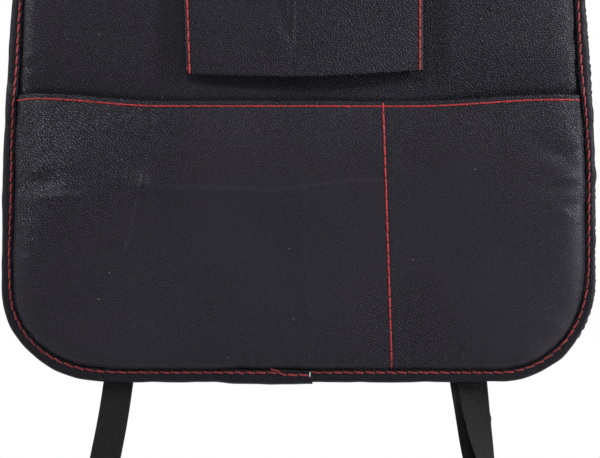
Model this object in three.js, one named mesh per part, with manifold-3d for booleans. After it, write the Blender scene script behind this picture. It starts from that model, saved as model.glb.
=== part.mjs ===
// Car seat back organizer: a padded panel with a bound edge, a wide lower pocket split
// in two by a seam, a tissue sleeve, a headrest strap and two strap loops with hooks.
// Millimetres. X runs across the panel, +Y points at the car seat, +Z is up.
// The origin is the middle of the flat back of the rear lining.
import * as THREE from 'three';
import { mergeVertices } from 'three/addons/utils/BufferGeometryUtils.js';
import Module from 'manifold-3d';

// Panel outline, as heights above the bottom edge and half widths
const PANEL_HEIGHT = 560;
const HALF_WIDTH = 199.7;
const LEFT_CORNER = { across: 69.8, high: 61.7 };
const RIGHT_CORNER = { across: 64.4, high: 68.5 };
const SIDE_BULGE = { half: 200.5, height: 170 };
const SIDE_TAPER = { half: 188, height: 360 };
const SHOULDER_START = { half: 160, height: 495 };
const SHOULDER_PULL = { half: 153, height: 529 };
const TOP_PULL_HALF = 130;
const TOP_FLAT_HALF = 90;
const BOTTOM = -PANEL_HEIGHT / 2;

// Layers at the rim, under the binding, and in the padded middle, from back to front
const GAP = 0.3;
const SKIN = 0.9;
const RIM_INSET = 2.5;
const RIM_BACK = -4.4;
const LINING = 0.7;
const RIM_FOAM = 0.8;
const PAD_FOAM = 8.2;
const PAD_START = 9;
const PAD_FULL = 26;

// Edge binding: a strip folded over the rim, its ends lapped at the bottom
const LEG = 8.7;
const FOLD_DEPTH = 2.2;
const LAP_START = -36;
const LAP_RISE = 22;
const LAP_END = 9.4;
const HEM_SWELL = 1.2;

// Lower pocket
const HEM_HEIGHT = 188;
const HEM_RISE_LEFT = 4;
const HEM_RISE_RIGHT = 4.4;
const HEM_LEVEL_HALF = 70;
const HEM_TURN = 10.5;
const HEM_LAYER = 1.2;
const HEM_SEAM_DROP = 3.2;
const POCKET_DEPTH = 8.5;
const POCKET_EASE = 36;
const DIVIDER_TOP_X = 56.6;
const DIVIDER_BOTTOM_X = 62.8;
const DIVIDER_EASE = 34;

// Tissue sleeve
const SLEEVE_LEFT = -77.2;
const SLEEVE_RIGHT = 82.6;
const SLEEVE_BOTTOM = 206.6;
const SLEEVE_TOP = 336;
const SLEEVE_SAG = 2;
const SLEEVE_LEAN = 2;
const SLEEVE_EDGE_STAND = 5.2;
const SLEEVE_CROWN = 6.5;
const SLEEVE_FLANGE = 9;
const SLOT_HEIGHT = 274;
const SLOT_HALF = 52;
const SLOT_RADIUS = 7;

// Elastic webbing and hooks
const WEBBING_WIDTH = 20;
const WEBBING = 1.2;
const SEWN_END = 9;
const LOOP_DROP = 146;
const LOOP_BEND = 4.6;
const HEADREST_REACH = 88;
const HEADREST_HALF = 92;
const HEADREST_BEND = 30;

// Stitching
const STITCH = 7;
const THREAD_WIDTH = 1.1;
const THREAD_RISE = 0.75;
const HOLE_WIDTH = 0.5;
const HOLE_RISE = 0.3;
const EDGE_SEAM_INSET = 6.4;

// Finishes
const faux = { color: 0x2d2c30, roughness: 0.55, metalness: 0 };
const binding = { color: 0x2b2b2d, roughness: 0.6, metalness: 0 };
const felt = { color: 0x1c1c1d, roughness: 0.95, metalness: 0 };
const foam = { color: 0x3a3a3a, roughness: 0.95, metalness: 0 };
const elastic = { color: 0x1c1c1e, roughness: 0.85, metalness: 0 };
const plastic = { color: 0x151516, roughness: 0.4, metalness: 0 };
const thread = { color: 0xa01c22, roughness: 0.7, metalness: 0 };

const wasm = await Module();
wasm.setup();

const up = (height) => BOTTOM + height;
const smooth = THREE.MathUtils.smoothstep;
const lerp = THREE.MathUtils.lerp;

// A closed body from points and triangles, turned so that its faces point out
function body(points, triangles) {
  let volume = 0;
  for (const [a, b, c] of triangles) {
    volume += points[a].dot(new THREE.Vector3().crossVectors(points[b], points[c]));
  }
  const faces = volume < 0 ? triangles.map(([a, b, c]) => [a, c, b]) : triangles;
  const geometry = new THREE.BufferGeometry().setFromPoints(points);
  geometry.setIndex(faces.flat());
  return geometry;
}

// Joins two rows of point numbers with a strip of triangles. From the number mirrored on, the
// quads are split along their other diagonal, so that the two faces of a thin turned band
// stay one thickness apart.
function strip(triangles, low, high, closed, mirrored = low.length) {
  const last = closed ? low.length : low.length - 1;
  for (let i = 0; i < last; i += 1) {
    const j = (i + 1) % low.length;
    if (i < mirrored) {
      triangles.push([low[i], low[j], high[j]], [low[i], high[j], high[i]]);
    } else {
      triangles.push([low[i], low[j], high[i]], [low[j], high[j], high[i]]);
    }
  }
}

// Triangles that fill a flat section, in the order that its points run
function fillSection(section) {
  const normal = new THREE.Vector3();
  section.forEach((at, i) => {
    normal.add(new THREE.Vector3().crossVectors(at, section[(i + 1) % section.length]));
  });
  const across = section[1].clone().sub(section[0]).normalize();
  const along = new THREE.Vector3().crossVectors(normal.normalize(), across);
  const flat = section.map((at) => new THREE.Vector2(at.dot(across), at.dot(along)));
  return THREE.ShapeUtils.triangulateShape(flat, []);
}

// A solid swept through flat sections with the same number of points
function loft(sections, mirrored) {
  const count = sections[0].length;
  const rows = sections.map((section, s) => section.map((_, i) => s * count + i));
  const triangles = [];
  for (let s = 0; s + 1 < rows.length; s += 1) {
    strip(triangles, rows[s], rows[s + 1], true, mirrored);
  }
  for (const [a, b, c] of fillSection(sections[0])) {
    triangles.push([rows[0][c], rows[0][b], rows[0][a]]);
    triangles.push([rows.at(-1)[a], rows.at(-1)[b], rows.at(-1)[c]]);
  }
  return body(sections.flat(), triangles);
}

// The outline as curves, run anticlockwise as seen from the front, from the lap
function outlineCurves() {
  const left = -HALF_WIDTH + LEFT_CORNER.across;
  const right = HALF_WIDTH - RIGHT_CORNER.across;
  const path = new THREE.Path();
  path.moveTo(LAP_START, BOTTOM);
  path.lineTo(right, BOTTOM);
  path.absellipse(right, up(RIGHT_CORNER.high), RIGHT_CORNER.across, RIGHT_CORNER.high,
    -Math.PI / 2, 0, false);
  path.bezierCurveTo(SIDE_BULGE.half, up(SIDE_BULGE.height), SIDE_TAPER.half, up(SIDE_TAPER.height),
    SHOULDER_START.half, up(SHOULDER_START.height));
  path.bezierCurveTo(SHOULDER_PULL.half, up(SHOULDER_PULL.height), TOP_PULL_HALF, up(PANEL_HEIGHT),
    TOP_FLAT_HALF, up(PANEL_HEIGHT));
  path.lineTo(-TOP_FLAT_HALF, up(PANEL_HEIGHT));
  path.bezierCurveTo(-TOP_PULL_HALF, up(PANEL_HEIGHT), -SHOULDER_PULL.half, up(SHOULDER_PULL.height),
    -SHOULDER_START.half, up(SHOULDER_START.height));
  path.bezierCurveTo(-SIDE_TAPER.half, up(SIDE_TAPER.height), -SIDE_BULGE.half, up(SIDE_BULGE.height),
    -HALF_WIDTH, up(LEFT_CORNER.high));
  path.absellipse(left, up(LEFT_CORNER.high), LEFT_CORNER.across, LEFT_CORNER.high,
    Math.PI, 1.5 * Math.PI, false);
  path.lineTo(LAP_START, BOTTOM);
  return path.curves;
}

// Where a side curve passes a height, found by halving
function shareAtHeight(curve, height) {
  let low = 0;
  let high = 1;
  const rising = curve.getPoint(1).y > curve.getPoint(0).y;
  for (let step = 0; step < 30; step += 1) {
    const middle = (low + high) / 2;
    if ((curve.getPoint(middle).y < up(height)) === rising) {
      low = middle;
    } else {
      high = middle;
    }
  }
  return (low + high) / 2;
}

// Stations round the outline, each a point with its inward normal. The hem of the pocket
// needs stations close above and below it, because the binding swells over its ends.
const SIDE_HEIGHTS = [84, 115, 145, 172, 179, 193, 199, 235, 275, 320, 365, 410, 455];
const CORNER_STEPS = 8;
const SHOULDER_STEPS = 7;
const BOTTOM_STEPS = 5;
const TOP_STEPS = 4;

function stations() {
  const [bottomRight, rightCorner, rightSide, rightShoulder, top, leftShoulder, leftSide, leftCorner,
    bottomLeft] = outlineCurves();
  const list = [];
  const add = (curve, share) => {
    const at = curve.getPoint(share);
    const along = curve.getTangent(share);
    list.push({ x: at.x, z: at.y, nx: -along.y, nz: along.x });
  };
  const even = (curve, steps) => {
    for (let i = 0; i < steps; i += 1) {
      add(curve, i / steps);
    }
  };
  const side = (curve) => {
    const shares = SIDE_HEIGHTS.map((height) => shareAtHeight(curve, height));
    for (const share of [0, ...shares.sort((a, b) => a - b)]) {
      add(curve, share);
    }
  };
  even(bottomRight, BOTTOM_STEPS);
  even(rightCorner, CORNER_STEPS);
  side(rightSide);
  even(rightShoulder, SHOULDER_STEPS);
  even(top, TOP_STEPS);
  even(leftShoulder, SHOULDER_STEPS);
  side(leftSide);
  even(leftCorner, CORNER_STEPS);
  even(bottomLeft, BOTTOM_STEPS);
  return list;
}

const OUTLINE = stations();
const insetPoint = (station, inset, y) =>
  new THREE.Vector3(station.x + station.nx * inset, y, station.z + station.nz * inset);

// How far a point of the panel lies inside the outline
function insetOf(x, z) {
  let nearest = Infinity;
  OUTLINE.forEach((a, i) => {
    const b = OUTLINE[(i + 1) % OUTLINE.length];
    const dx = b.x - a.x;
    const dz = b.z - a.z;
    const share = THREE.MathUtils.clamp(((x - a.x) * dx + (z - a.z) * dz) / (dx * dx + dz * dz), 0, 1);
    nearest = Math.min(nearest, Math.hypot(x - a.x - share * dx, z - a.z - share * dz));
  });
  return nearest;
}

// The outline's left and right edge at a height, moved in by an inset
function edgesAt(z, inset) {
  const ring = OUTLINE.map((station) => insetPoint(station, inset, 0));
  const crossings = [];
  ring.forEach((a, i) => {
    const b = ring[(i + 1) % ring.length];
    if ((a.z - z) * (b.z - z) <= 0 && a.z !== b.z) {
      crossings.push(lerp(a.x, b.x, (z - a.z) / (b.z - a.z)));
    }
  });
  return [Math.min(...crossings), Math.max(...crossings)];
}

// Depths of the layers by how far a point lies inside the outline
const padded = (inset) => smooth(inset, PAD_START, PAD_FULL);
const liningBack = (inset) => lerp(RIM_BACK, 0, padded(inset));
const foamBack = (inset) => liningBack(inset) - LINING - GAP;
const foamFront = (inset) => foamBack(inset) - lerp(RIM_FOAM, PAD_FOAM, padded(inset));
const panelBack = (inset) => foamFront(inset) - GAP;
const panelFront = (inset) => panelBack(inset) - SKIN;

// A layer of the panel: rings that follow the outline, closed by flat middles
const LAYER_RINGS = [RIM_INSET, PAD_START, 14, 20, PAD_FULL];

function layer(back, front) {
  const rings = [];
  const points = [];
  const addRing = (inset, y) => {
    rings.push(OUTLINE.map((station) => points.push(insetPoint(station, inset, y)) - 1));
  };
  LAYER_RINGS.slice().reverse().forEach((inset) => addRing(inset, back(inset)));
  LAYER_RINGS.forEach((inset) => addRing(inset, front(inset)));
  const triangles = [];
  for (let i = 0; i + 1 < rings.length; i += 1) {
    strip(triangles, rings[i], rings[i + 1], true);
  }
  const flat = rings[0].map((index) => new THREE.Vector2(points[index].x, points[index].z));
  for (const [a, b, c] of THREE.ShapeUtils.triangulateShape(flat, [])) {
    triangles.push([rings[0][c], rings[0][b], rings[0][a]]);
    triangles.push([rings.at(-1)[a], rings.at(-1)[b], rings.at(-1)[c]]);
  }
  return body(points, triangles);
}

// The hem's fold line: level in the middle and rising to both sides
function hemHeight(x) {
  const rise = x < 0 ? HEM_RISE_LEFT : HEM_RISE_RIGHT;
  return HEM_HEIGHT + rise * smooth(Math.abs(x), HEM_LEVEL_HALF, HALF_WIDTH - LEG);
}

const dividerX = (height) => lerp(DIVIDER_BOTTOM_X, DIVIDER_TOP_X, height / HEM_HEIGHT);

// The pocket's middle surface: flat on the panel at the rim and along the divider
function pocketDepth(x, height) {
  const inset = insetOf(x, up(height));
  const fromRim = smooth(inset, PAD_START, PAD_START + POCKET_EASE);
  const fromDivider = smooth(Math.abs(x - dividerX(height)), 0, DIVIDER_EASE);
  return panelFront(inset) - GAP - SKIN / 2 - POCKET_DEPTH * fromRim * fromDivider;
}

// Rows of the pocket from the bottom rim up, over the fold and down the turned hem.
// Each row has a height, a place below the fold line and how far it is lifted forward.
const POCKET_HEIGHTS = [RIM_INSET, 5, PAD_START, 15, 23, 34, 48, 68, 100, 140];
const HEM_ROWS = [
  { drop: 15, lift: 0 },
  { drop: 11.5, lift: HEM_LAYER },
  { drop: HEM_SEAM_DROP, lift: HEM_LAYER },
  { drop: HEM_LAYER / 2, lift: HEM_LAYER },
  { drop: 0, lift: HEM_LAYER / 2 },
  { drop: HEM_LAYER / 2, lift: 0 },
  { drop: HEM_TURN, lift: 0 },
];
const HEM_SEAM_ROW = POCKET_HEIGHTS.length + 2;

// Columns as shares of the way from an edge of the pocket to the level part beside it,
// then places either side of the divider
const EDGE_SHARES = [0, 0.1, 0.22, 0.4, 0.65, 1];
const LEVEL_LEFT = -128;
const LEVEL_RIGHT = 133;
const LEFT_COLUMNS = [-80, -30, 20];
const DIVIDER_OFFSETS = [-30, -20, -10, 0, 10, 20, 30];
const DIVIDER_COLUMN = EDGE_SHARES.length + LEFT_COLUMNS.length + (DIVIDER_OFFSETS.length - 1) / 2;

function pocketColumns(height) {
  const [left, right] = edgesAt(up(height), RIM_INSET);
  const divider = dividerX(height);
  return [
    ...EDGE_SHARES.map((share) => lerp(left, LEVEL_LEFT, share)),
    ...LEFT_COLUMNS,
    ...DIVIDER_OFFSETS.map((offset) => divider + offset),
    ...EDGE_SHARES.slice().reverse().map((share) => lerp(right, LEVEL_RIGHT, share)),
  ];
}

function pocketGrid() {
  const low = POCKET_HEIGHTS.map((height) =>
    pocketColumns(height).map((x) => new THREE.Vector3(x, pocketDepth(x, height), up(height))));
  const hem = HEM_ROWS.map(({ drop, lift }) =>
    pocketColumns(HEM_HEIGHT - drop).map((x) => {
      const height = hemHeight(x) - drop;
      return new THREE.Vector3(x, pocketDepth(x, height) - lift, up(height));
    }));
  return [...low, ...hem];
}

// Unit normals of a grid of points, from each point's neighbours
function gridNormals(grid) {
  const rows = grid.length;
  const columns = grid[0].length;
  return grid.map((row, i) => row.map((_, j) => {
    const across = row[Math.min(j + 1, columns - 1)].clone().sub(row[Math.max(j - 1, 0)]);
    const along = grid[Math.min(i + 1, rows - 1)][j].clone().sub(grid[Math.max(i - 1, 0)][j]);
    return across.cross(along).normalize();
  }));
}

// A sheet of even thickness about a grid of points, with its two faces as grids
function sheet(grid, thickness) {
  const normals = gridNormals(grid);
  const shifted = (amount) => grid.map((row, i) => row.map((at, j) =>
    at.clone().addScaledVector(normals[i][j], amount)));
  const front = shifted(thickness / 2);
  const back = shifted(-thickness / 2);
  const columns = grid[0].length;
  const number = (face, i, j) => (face * grid.length + i) * columns + j;
  const triangles = [];
  for (let i = 0; i + 1 < grid.length; i += 1) {
    const row = (face, r) => grid[0].map((_, j) => number(face, r, j));
    strip(triangles, row(0, i), row(0, i + 1), false);
    strip(triangles, row(1, i + 1), row(1, i), false);
  }
  const rim = (face) => [
    ...grid[0].map((_, j) => number(face, 0, j)),
    ...grid.slice(1).map((_, i) => number(face, i + 1, columns - 1)),
    ...grid[0].slice(1).map((_, j) => number(face, grid.length - 1, columns - 2 - j)),
    ...grid.slice(2).map((_, i) => number(face, grid.length - 2 - i, 0)),
  ];
  strip(triangles, rim(1), rim(0), true);
  return { geometry: body([...front.flat(), ...back.flat()], triangles), front, back };
}

// The binding's front face. It swells over the hem's ends and lies lower above the pocket.
const BINDING_BACK = RIM_BACK + GAP;
const BARE_FRONT = RIM_BACK - LINING - GAP - RIM_FOAM - GAP - SKIN - GAP;
const POCKET_FRONT = BARE_FRONT - GAP - SKIN;

function bindingFront(z) {
  const height = z - BOTTOM;
  if (height > 195) {
    return BARE_FRONT;
  }
  return height > 175 ? POCKET_FRONT - HEM_SWELL : POCKET_FRONT;
}

// One section of the binding, a U open towards the panel, moved out by the lap
function bindingSection(station, lap) {
  const front = bindingFront(station.z) - lap;
  const back = BINDING_BACK + lap;
  const middle = (front + back) / 2;
  const section = [];
  const arc = (thickness, depth, turns) => {
    for (const turn of turns) {
      const inset = thickness + depth * (1 - Math.cos(turn)) - lap;
      const half = (back - front) / 2 + SKIN - thickness;
      section.push(insetPoint(station, inset, middle - half * Math.sin(turn)));
    }
  };
  const quarter = Math.PI / 2;
  section.push(insetPoint(station, LEG - lap, front - SKIN));
  arc(0, FOLD_DEPTH, [quarter, quarter / 2, 0, -quarter / 2, -quarter]);
  section.push(insetPoint(station, LEG - lap, back + SKIN));
  section.push(insetPoint(station, LEG - lap, back));
  arc(SKIN, FOLD_DEPTH - SKIN, [-quarter, 0, quarter]);
  section.push(insetPoint(station, LEG - lap, front));
  return section;
}

const bottomStation = (x) => ({ x, z: BOTTOM, nx: 0, nz: 1 });
const LAP_STATIONS = [LAP_START - LAP_RISE, LAP_START - 3, LAP_END];
const lapAt = (x) => (SKIN + GAP) * smooth(x, LAP_STATIONS[0], LAP_STATIONS[1]);

function bindingStrip() {
  const clearOfLap = ({ x, z }) => z > BOTTOM || x >= LAP_START || x < LAP_STATIONS[0];
  const sections = OUTLINE.filter(clearOfLap).map((station) => bindingSection(station, 0));
  for (const x of LAP_STATIONS) {
    sections.push(bindingSection(bottomStation(x), lapAt(x)));
  }
  return loft(sections);
}

// A seam as one bead of thread: a small roof section that swells at each stitch
// and narrows at each needle hole, following a line of points on a face
function seam(line) {
  const places = [];
  const lengths = line.map((_, i) => (i ? line[i].at.distanceTo(line[i - 1].at) : 0));
  const total = lengths.reduce((sum, length) => sum + length, 0);
  const halves = 2 * Math.round(total / STITCH);
  let segment = 1;
  let passed = 0;
  for (let i = 0; i <= halves; i += 1) {
    const target = (total * i) / halves;
    while (segment < line.length - 1 && passed + lengths[segment] < target) {
      passed += lengths[segment];
      segment += 1;
    }
    const share = Math.min((target - passed) / lengths[segment], 1);
    const from = line[segment - 1];
    const to = line[segment];
    const at = from.at.clone().lerp(to.at, share);
    const out = from.out.clone().lerp(to.out, share).normalize();
    const side = to.at.clone().sub(from.at).cross(out).normalize();
    places.push({ at, out, side, full: i % 2 === 1 });
  }
  return loft(places.map(({ at, out, side, full }) => {
    const half = (full ? THREAD_WIDTH : HOLE_WIDTH) / 2;
    const rise = full ? THREAD_RISE : HOLE_RISE;
    const foot = at.clone().addScaledVector(out, GAP);
    return [
      foot.clone().addScaledVector(side, half),
      foot.clone().addScaledVector(out, rise),
      foot.clone().addScaledVector(side, -half),
    ];
  }));
}

// The line of the edge seam: out of the lap, round the outline and over its own start
const SEAM_START = -19.5;
const SEAM_START_INSET = 7;
const SEAM_END_INSET = 4.8;
const OUT = new THREE.Vector3(0, -1, 0);

function edgeSeam() {
  const at = (station, inset, lap) => ({
    at: insetPoint(station, inset, bindingFront(station.z) - SKIN - lap),
    out: OUT,
  });
  const full = SKIN + GAP;
  const line = [
    at(bottomStation(SEAM_START), SEAM_START_INSET, full),
    at(bottomStation(LAP_END + GAP), SEAM_START_INSET, full),
    at(bottomStation(LAP_END + 2), EDGE_SEAM_INSET, 0.4),
  ];
  for (const station of OUTLINE) {
    if (station.z > BOTTOM || station.x > LAP_END + STITCH || station.x < LAP_STATIONS[0]) {
      line.push(at(station, EDGE_SEAM_INSET, 0));
    }
  }
  line.push(at(bottomStation(LAP_STATIONS[0]), EDGE_SEAM_INSET, 0));
  line.push(at(bottomStation(LAP_STATIONS[1]), EDGE_SEAM_INSET, full));
  line.push(at(bottomStation(SEAM_START - 5), EDGE_SEAM_INSET, full));
  line.push(at(bottomStation(SEAM_START), SEAM_END_INSET, full));
  line.push(at(bottomStation(LAP_END - 1.5), SEAM_END_INSET, full));
  return seam(line);
}

// Seams on the pocket follow its facets: the hem seam a row, the divider seam a column
const SEAM_EDGE_COLUMN = 2;

function hemSeam(front) {
  const row = front[HEM_SEAM_ROW].slice(SEAM_EDGE_COLUMN, -SEAM_EDGE_COLUMN);
  return seam(row.map((at) => ({ at, out: OUT })));
}

const DIVIDER_FIRST_ROW = 3;
const DIVIDER_LIFT = 1.1;

function dividerSeam(front) {
  const rows = front.slice(DIVIDER_FIRST_ROW, HEM_SEAM_ROW + 1);
  const line = rows.map((row) => ({ at: row[DIVIDER_COLUMN], out: OUT }));
  const top = line.at(-1).at;
  line[line.length - 1] = { at: top.clone().add(new THREE.Vector3(0, 0, -DIVIDER_LIFT)), out: OUT };
  return seam(line);
}

// The sleeve across: flanges turned in on the panel, gussets, and a crowned front
const SLEEVE_SHARES = [0, 0.06, 0.18, 0.34, 0.5, 0.66, 0.82, 0.94, 1];
const SLEEVE_ROWS = 6;
const FOLD_ROUND = 1.2;
const PANEL_FACE = panelFront(PAD_FULL);

function sleeveGrid() {
  const foot = PANEL_FACE - GAP - SKIN / 2;
  const edge = foot - SLEEVE_EDGE_STAND;
  const grid = [];
  for (let i = 0; i <= SLEEVE_ROWS; i += 1) {
    const share = i / SLEEVE_ROWS;
    const flare = SLEEVE_LEAN * share;
    const left = SLEEVE_LEFT - flare;
    const right = SLEEVE_RIGHT;
    const sag = (x) => SLEEVE_SAG * (1 - share) * (1 - (2 * (x - left) / (right - left) - 1) ** 2);
    const at = (x, y) => new THREE.Vector3(x, y, up(lerp(SLEEVE_BOTTOM, SLEEVE_TOP, share) - sag(x)));
    const crown = (part) => edge - SLEEVE_CROWN * Math.sin(Math.PI * part) ** 0.7;
    const front = SLEEVE_SHARES.map((part) =>
      at(lerp(left + FOLD_ROUND, right - FOLD_ROUND, part), crown(part)));
    grid.push([
      at(left + SLEEVE_FLANGE, foot),
      at(left + FOLD_ROUND, foot),
      at(left, foot - FOLD_ROUND),
      at(left, edge + FOLD_ROUND),
      ...front,
      at(right, edge + FOLD_ROUND),
      at(right, foot - FOLD_ROUND),
      at(right - FOLD_ROUND, foot),
      at(right - SLEEVE_FLANGE, foot),
    ]);
  }
  return grid;
}

// A solid for joining and cutting, from a three.js geometry
function solid(geometry) {
  const bare = geometry.clone();
  bare.deleteAttribute('normal');
  bare.deleteAttribute('uv');
  const merged = mergeVertices(bare, 1e-4);
  return new wasm.Manifold(new wasm.Mesh({
    numProp: 3,
    vertProperties: new Float32Array(merged.attributes.position.array),
    triVerts: new Uint32Array(merged.index.array),
  }));
}

function fromSolid(shape) {
  const mesh = shape.getMesh();
  const geometry = new THREE.BufferGeometry();
  geometry.setAttribute('position', new THREE.BufferAttribute(new Float32Array(mesh.vertProperties), 3));
  geometry.setIndex(new THREE.BufferAttribute(new Uint32Array(mesh.triVerts), 1));
  return geometry;
}

// The slot that tissues are pulled through, cut out of the sleeve's front only
function slotCutter() {
  const shape = new THREE.Shape();
  shape.absarc(SLOT_HALF, 0, SLOT_RADIUS, -Math.PI / 2, Math.PI / 2, false);
  shape.absarc(-SLOT_HALF, 0, SLOT_RADIUS, Math.PI / 2, 1.5 * Math.PI, false);
  const cut = { depth: 20, bevelEnabled: false, curveSegments: 6 };
  const cutter = new THREE.ExtrudeGeometry(shape, cut);
  cutter.rotateX(Math.PI / 2);
  cutter.translate((SLEEVE_LEFT + SLEEVE_RIGHT) / 2, PANEL_FACE - 3, up(SLOT_HEIGHT));
  return cutter;
}

// Seams down the sleeve's two folded edges
const SLEEVE_SEAM_COLUMNS = { left: 5, right: -6 };

function sleeveSeam(front, column) {
  return seam(front.map((row) => ({ at: row.at(column), out: OUT })));
}

// A band of webbing: flat sections along a line, each with its width and face directions
function webbing(places) {
  const backFace = 2;
  return loft(places.map(({ at, across, out }) => {
    const corner = (u, v) => at.clone().addScaledVector(across, (u * WEBBING_WIDTH) / 2)
      .addScaledVector(out, (v * WEBBING) / 2);
    return [corner(-1, -1), corner(1, -1), corner(1, 1), corner(-1, 1)];
  }), backFace);
}

// The two loops. Each hangs on a line that leaves the bottom edge at the angle start and
// eases to the angle lean, and turns about that line on the way down. The two runs of the
// band are sewn on side by side, a spread apart, and come together above the hook.
const FRONT_RUN = -2.3;
const MIDDLE_RUN = FRONT_RUN + LOOP_BEND;
const BACK_RUN = MIDDLE_RUN + LOOP_BEND;
const BACK_SEWN = -0.8;
const BACK_FREE = { from: 2, to: 56 };
const LEAN_EASE = 45;
const TURN_STEP = 6;
const TURN_DROP = 16 * TURN_STEP;
const LOOP_SPREAD_END = 110;
const degrees = THREE.MathUtils.degToRad;
const LEFT_LOOP = { x: -121.4, start: degrees(-8), lean: degrees(-11.6), turn: 0, spread: 0 };
const RIGHT_LOOP = { x: 114.6, start: degrees(4), lean: degrees(11), turn: degrees(90), spread: 5 };

// The middle of a loop at a drop below the edge, with its directions across, back and down
function hangingFrame({ x, start, lean, turn }, drop) {
  const angleAt = (u) => lerp(start, lean, smooth(u, 0, LEAN_EASE));
  const downAt = (u) => new THREE.Vector3(Math.sin(angleAt(u)), 0, -Math.cos(angleAt(u)));
  const middle = new THREE.Vector3(x, MIDDLE_RUN, BOTTOM);
  const steps = 24;
  for (let i = 0; i < steps; i += 1) {
    middle.addScaledVector(downAt((drop * (i + 0.5)) / steps), drop / steps);
  }
  const down = downAt(drop);
  const twist = -turn * THREE.MathUtils.clamp(drop / TURN_DROP, 0, 1);
  const back = new THREE.Vector3(0, 1, 0).applyAxisAngle(down, twist);
  const across = new THREE.Vector3().crossVectors(down, back);
  return { middle, across, back, down };
}

// Places along a loop, from points (depth, drop) in its own plane
function hangingPlaces(points, loop) {
  const lowest = points.reduce((best, point, i) => (point.y > points[best].y ? i : best), 0);
  return points.map((point, i) => {
    const { middle, across, back, down } = hangingFrame(loop, point.y);
    const before = points[Math.max(i - 1, 0)];
    const after = points[Math.min(i + 1, points.length - 1)];
    const along = new THREE.Vector2(after.x - before.x, after.y - before.y).normalize();
    const out = back.clone().multiplyScalar(along.y).addScaledVector(down, -along.x);
    const apart = 1 - THREE.MathUtils.clamp(point.y / LOOP_SPREAD_END, 0, 1);
    const sideways = Math.sign(lowest - i) * (loop.spread / 2) * apart;
    const at = middle.addScaledVector(back, point.x - MIDDLE_RUN).addScaledVector(across, sideways);
    return { at, across, out };
  });
}

// A strap loop: sewn behind the binding, down in front, round the hook's bar and back up
function loopPoints() {
  const bend = LOOP_DROP - LOOP_BEND;
  const points = [new THREE.Vector2(FRONT_RUN, -SEWN_END)];
  for (let drop = 0; drop <= TURN_DROP; drop += TURN_STEP) {
    points.push(new THREE.Vector2(FRONT_RUN, drop));
  }
  const steps = 8;
  for (let i = 0; i <= steps; i += 1) {
    const turn = (Math.PI * i) / steps;
    const depth = MIDDLE_RUN - LOOP_BEND * Math.cos(turn);
    points.push(new THREE.Vector2(depth, bend + LOOP_BEND * Math.sin(turn)));
  }
  for (let drop = TURN_DROP; drop > 0; drop -= TURN_STEP) {
    const free = smooth(drop, BACK_FREE.from, BACK_FREE.to);
    points.push(new THREE.Vector2(lerp(BACK_SEWN, BACK_RUN, free), drop));
  }
  points.push(new THREE.Vector2(BACK_SEWN, 2));
  points.push(new THREE.Vector2(BACK_SEWN, -SEWN_END));
  return points;
}

// The hook: a frame that the loop runs through, and a J that catches the seat
const HOOK = {
  frameHalf: 14.5,
  slotHalf: 10.7,
  slot: 4,
  bar: 4,
  thick: 4,
  seat: 1.2,
  neck: 12,
  jHalf: 6,
  jRadius: 8,
  jThick: 3.2,
  lip: 10,
};

function hookSolid() {
  const frame = new THREE.Shape();
  const low = -HOOK.slot - HOOK.bar;
  frame.moveTo(-HOOK.frameHalf, HOOK.bar - 1);
  frame.lineTo(-HOOK.frameHalf, low + 2);
  frame.lineTo(-HOOK.frameHalf + 2, low);
  frame.lineTo(HOOK.frameHalf - 2, low);
  frame.lineTo(HOOK.frameHalf, low + 2);
  frame.lineTo(HOOK.frameHalf, HOOK.bar - 1);
  frame.lineTo(HOOK.frameHalf - 1, HOOK.bar);
  frame.lineTo(-HOOK.frameHalf + 1, HOOK.bar);
  const slot = new THREE.Path();
  slot.moveTo(-HOOK.slotHalf, 0);
  slot.lineTo(HOOK.slotHalf, 0);
  slot.lineTo(HOOK.slotHalf, -HOOK.slot);
  slot.lineTo(-HOOK.slotHalf, -HOOK.slot);
  frame.holes.push(slot);
  const plate = new THREE.ExtrudeGeometry(frame, { depth: HOOK.thick, bevelEnabled: false });
  plate.rotateX(Math.PI / 2);
  plate.translate(0, HOOK.thick / 2, 0);

  const outer = HOOK.jRadius + HOOK.jThick;
  const centre = low - HOOK.neck;
  const profile = new THREE.Shape();
  profile.moveTo(-HOOK.jThick / 2, low + 1);
  profile.lineTo(-HOOK.jThick / 2, centre);
  profile.absarc(outer - HOOK.jThick / 2, centre, outer, Math.PI, 2 * Math.PI, false);
  profile.lineTo(2 * outer - HOOK.jThick / 2, centre + HOOK.lip);
  profile.lineTo(2 * outer - 1.5 * HOOK.jThick, centre + HOOK.lip);
  profile.absarc(outer - HOOK.jThick / 2, centre, HOOK.jRadius, 2 * Math.PI, Math.PI, true);
  profile.lineTo(HOOK.jThick / 2, low + 1);
  const width = { depth: 2 * HOOK.jHalf, bevelEnabled: false, curveSegments: 10 };
  const bent = new THREE.ExtrudeGeometry(profile, width);
  bent.rotateX(Math.PI / 2);
  bent.rotateZ(Math.PI / 2);
  bent.translate(-HOOK.jHalf, 0, 0);
  return fromSolid(solid(plate).add(solid(bent)));
}

function placeHook(mesh, loop) {
  const { middle, across, back, down } = hangingFrame(loop, LOOP_DROP - WEBBING / 2 - HOOK.seat);
  mesh.position.copy(middle);
  mesh.setRotationFromMatrix(new THREE.Matrix4().makeBasis(across, back, down.negate()));
  return mesh;
}

// The headrest strap: sewn along the back of the top binding, round behind the posts
const HEADREST_HEIGHT = PANEL_HEIGHT - 1;
const HEADREST_FACE = -2.3;

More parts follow.
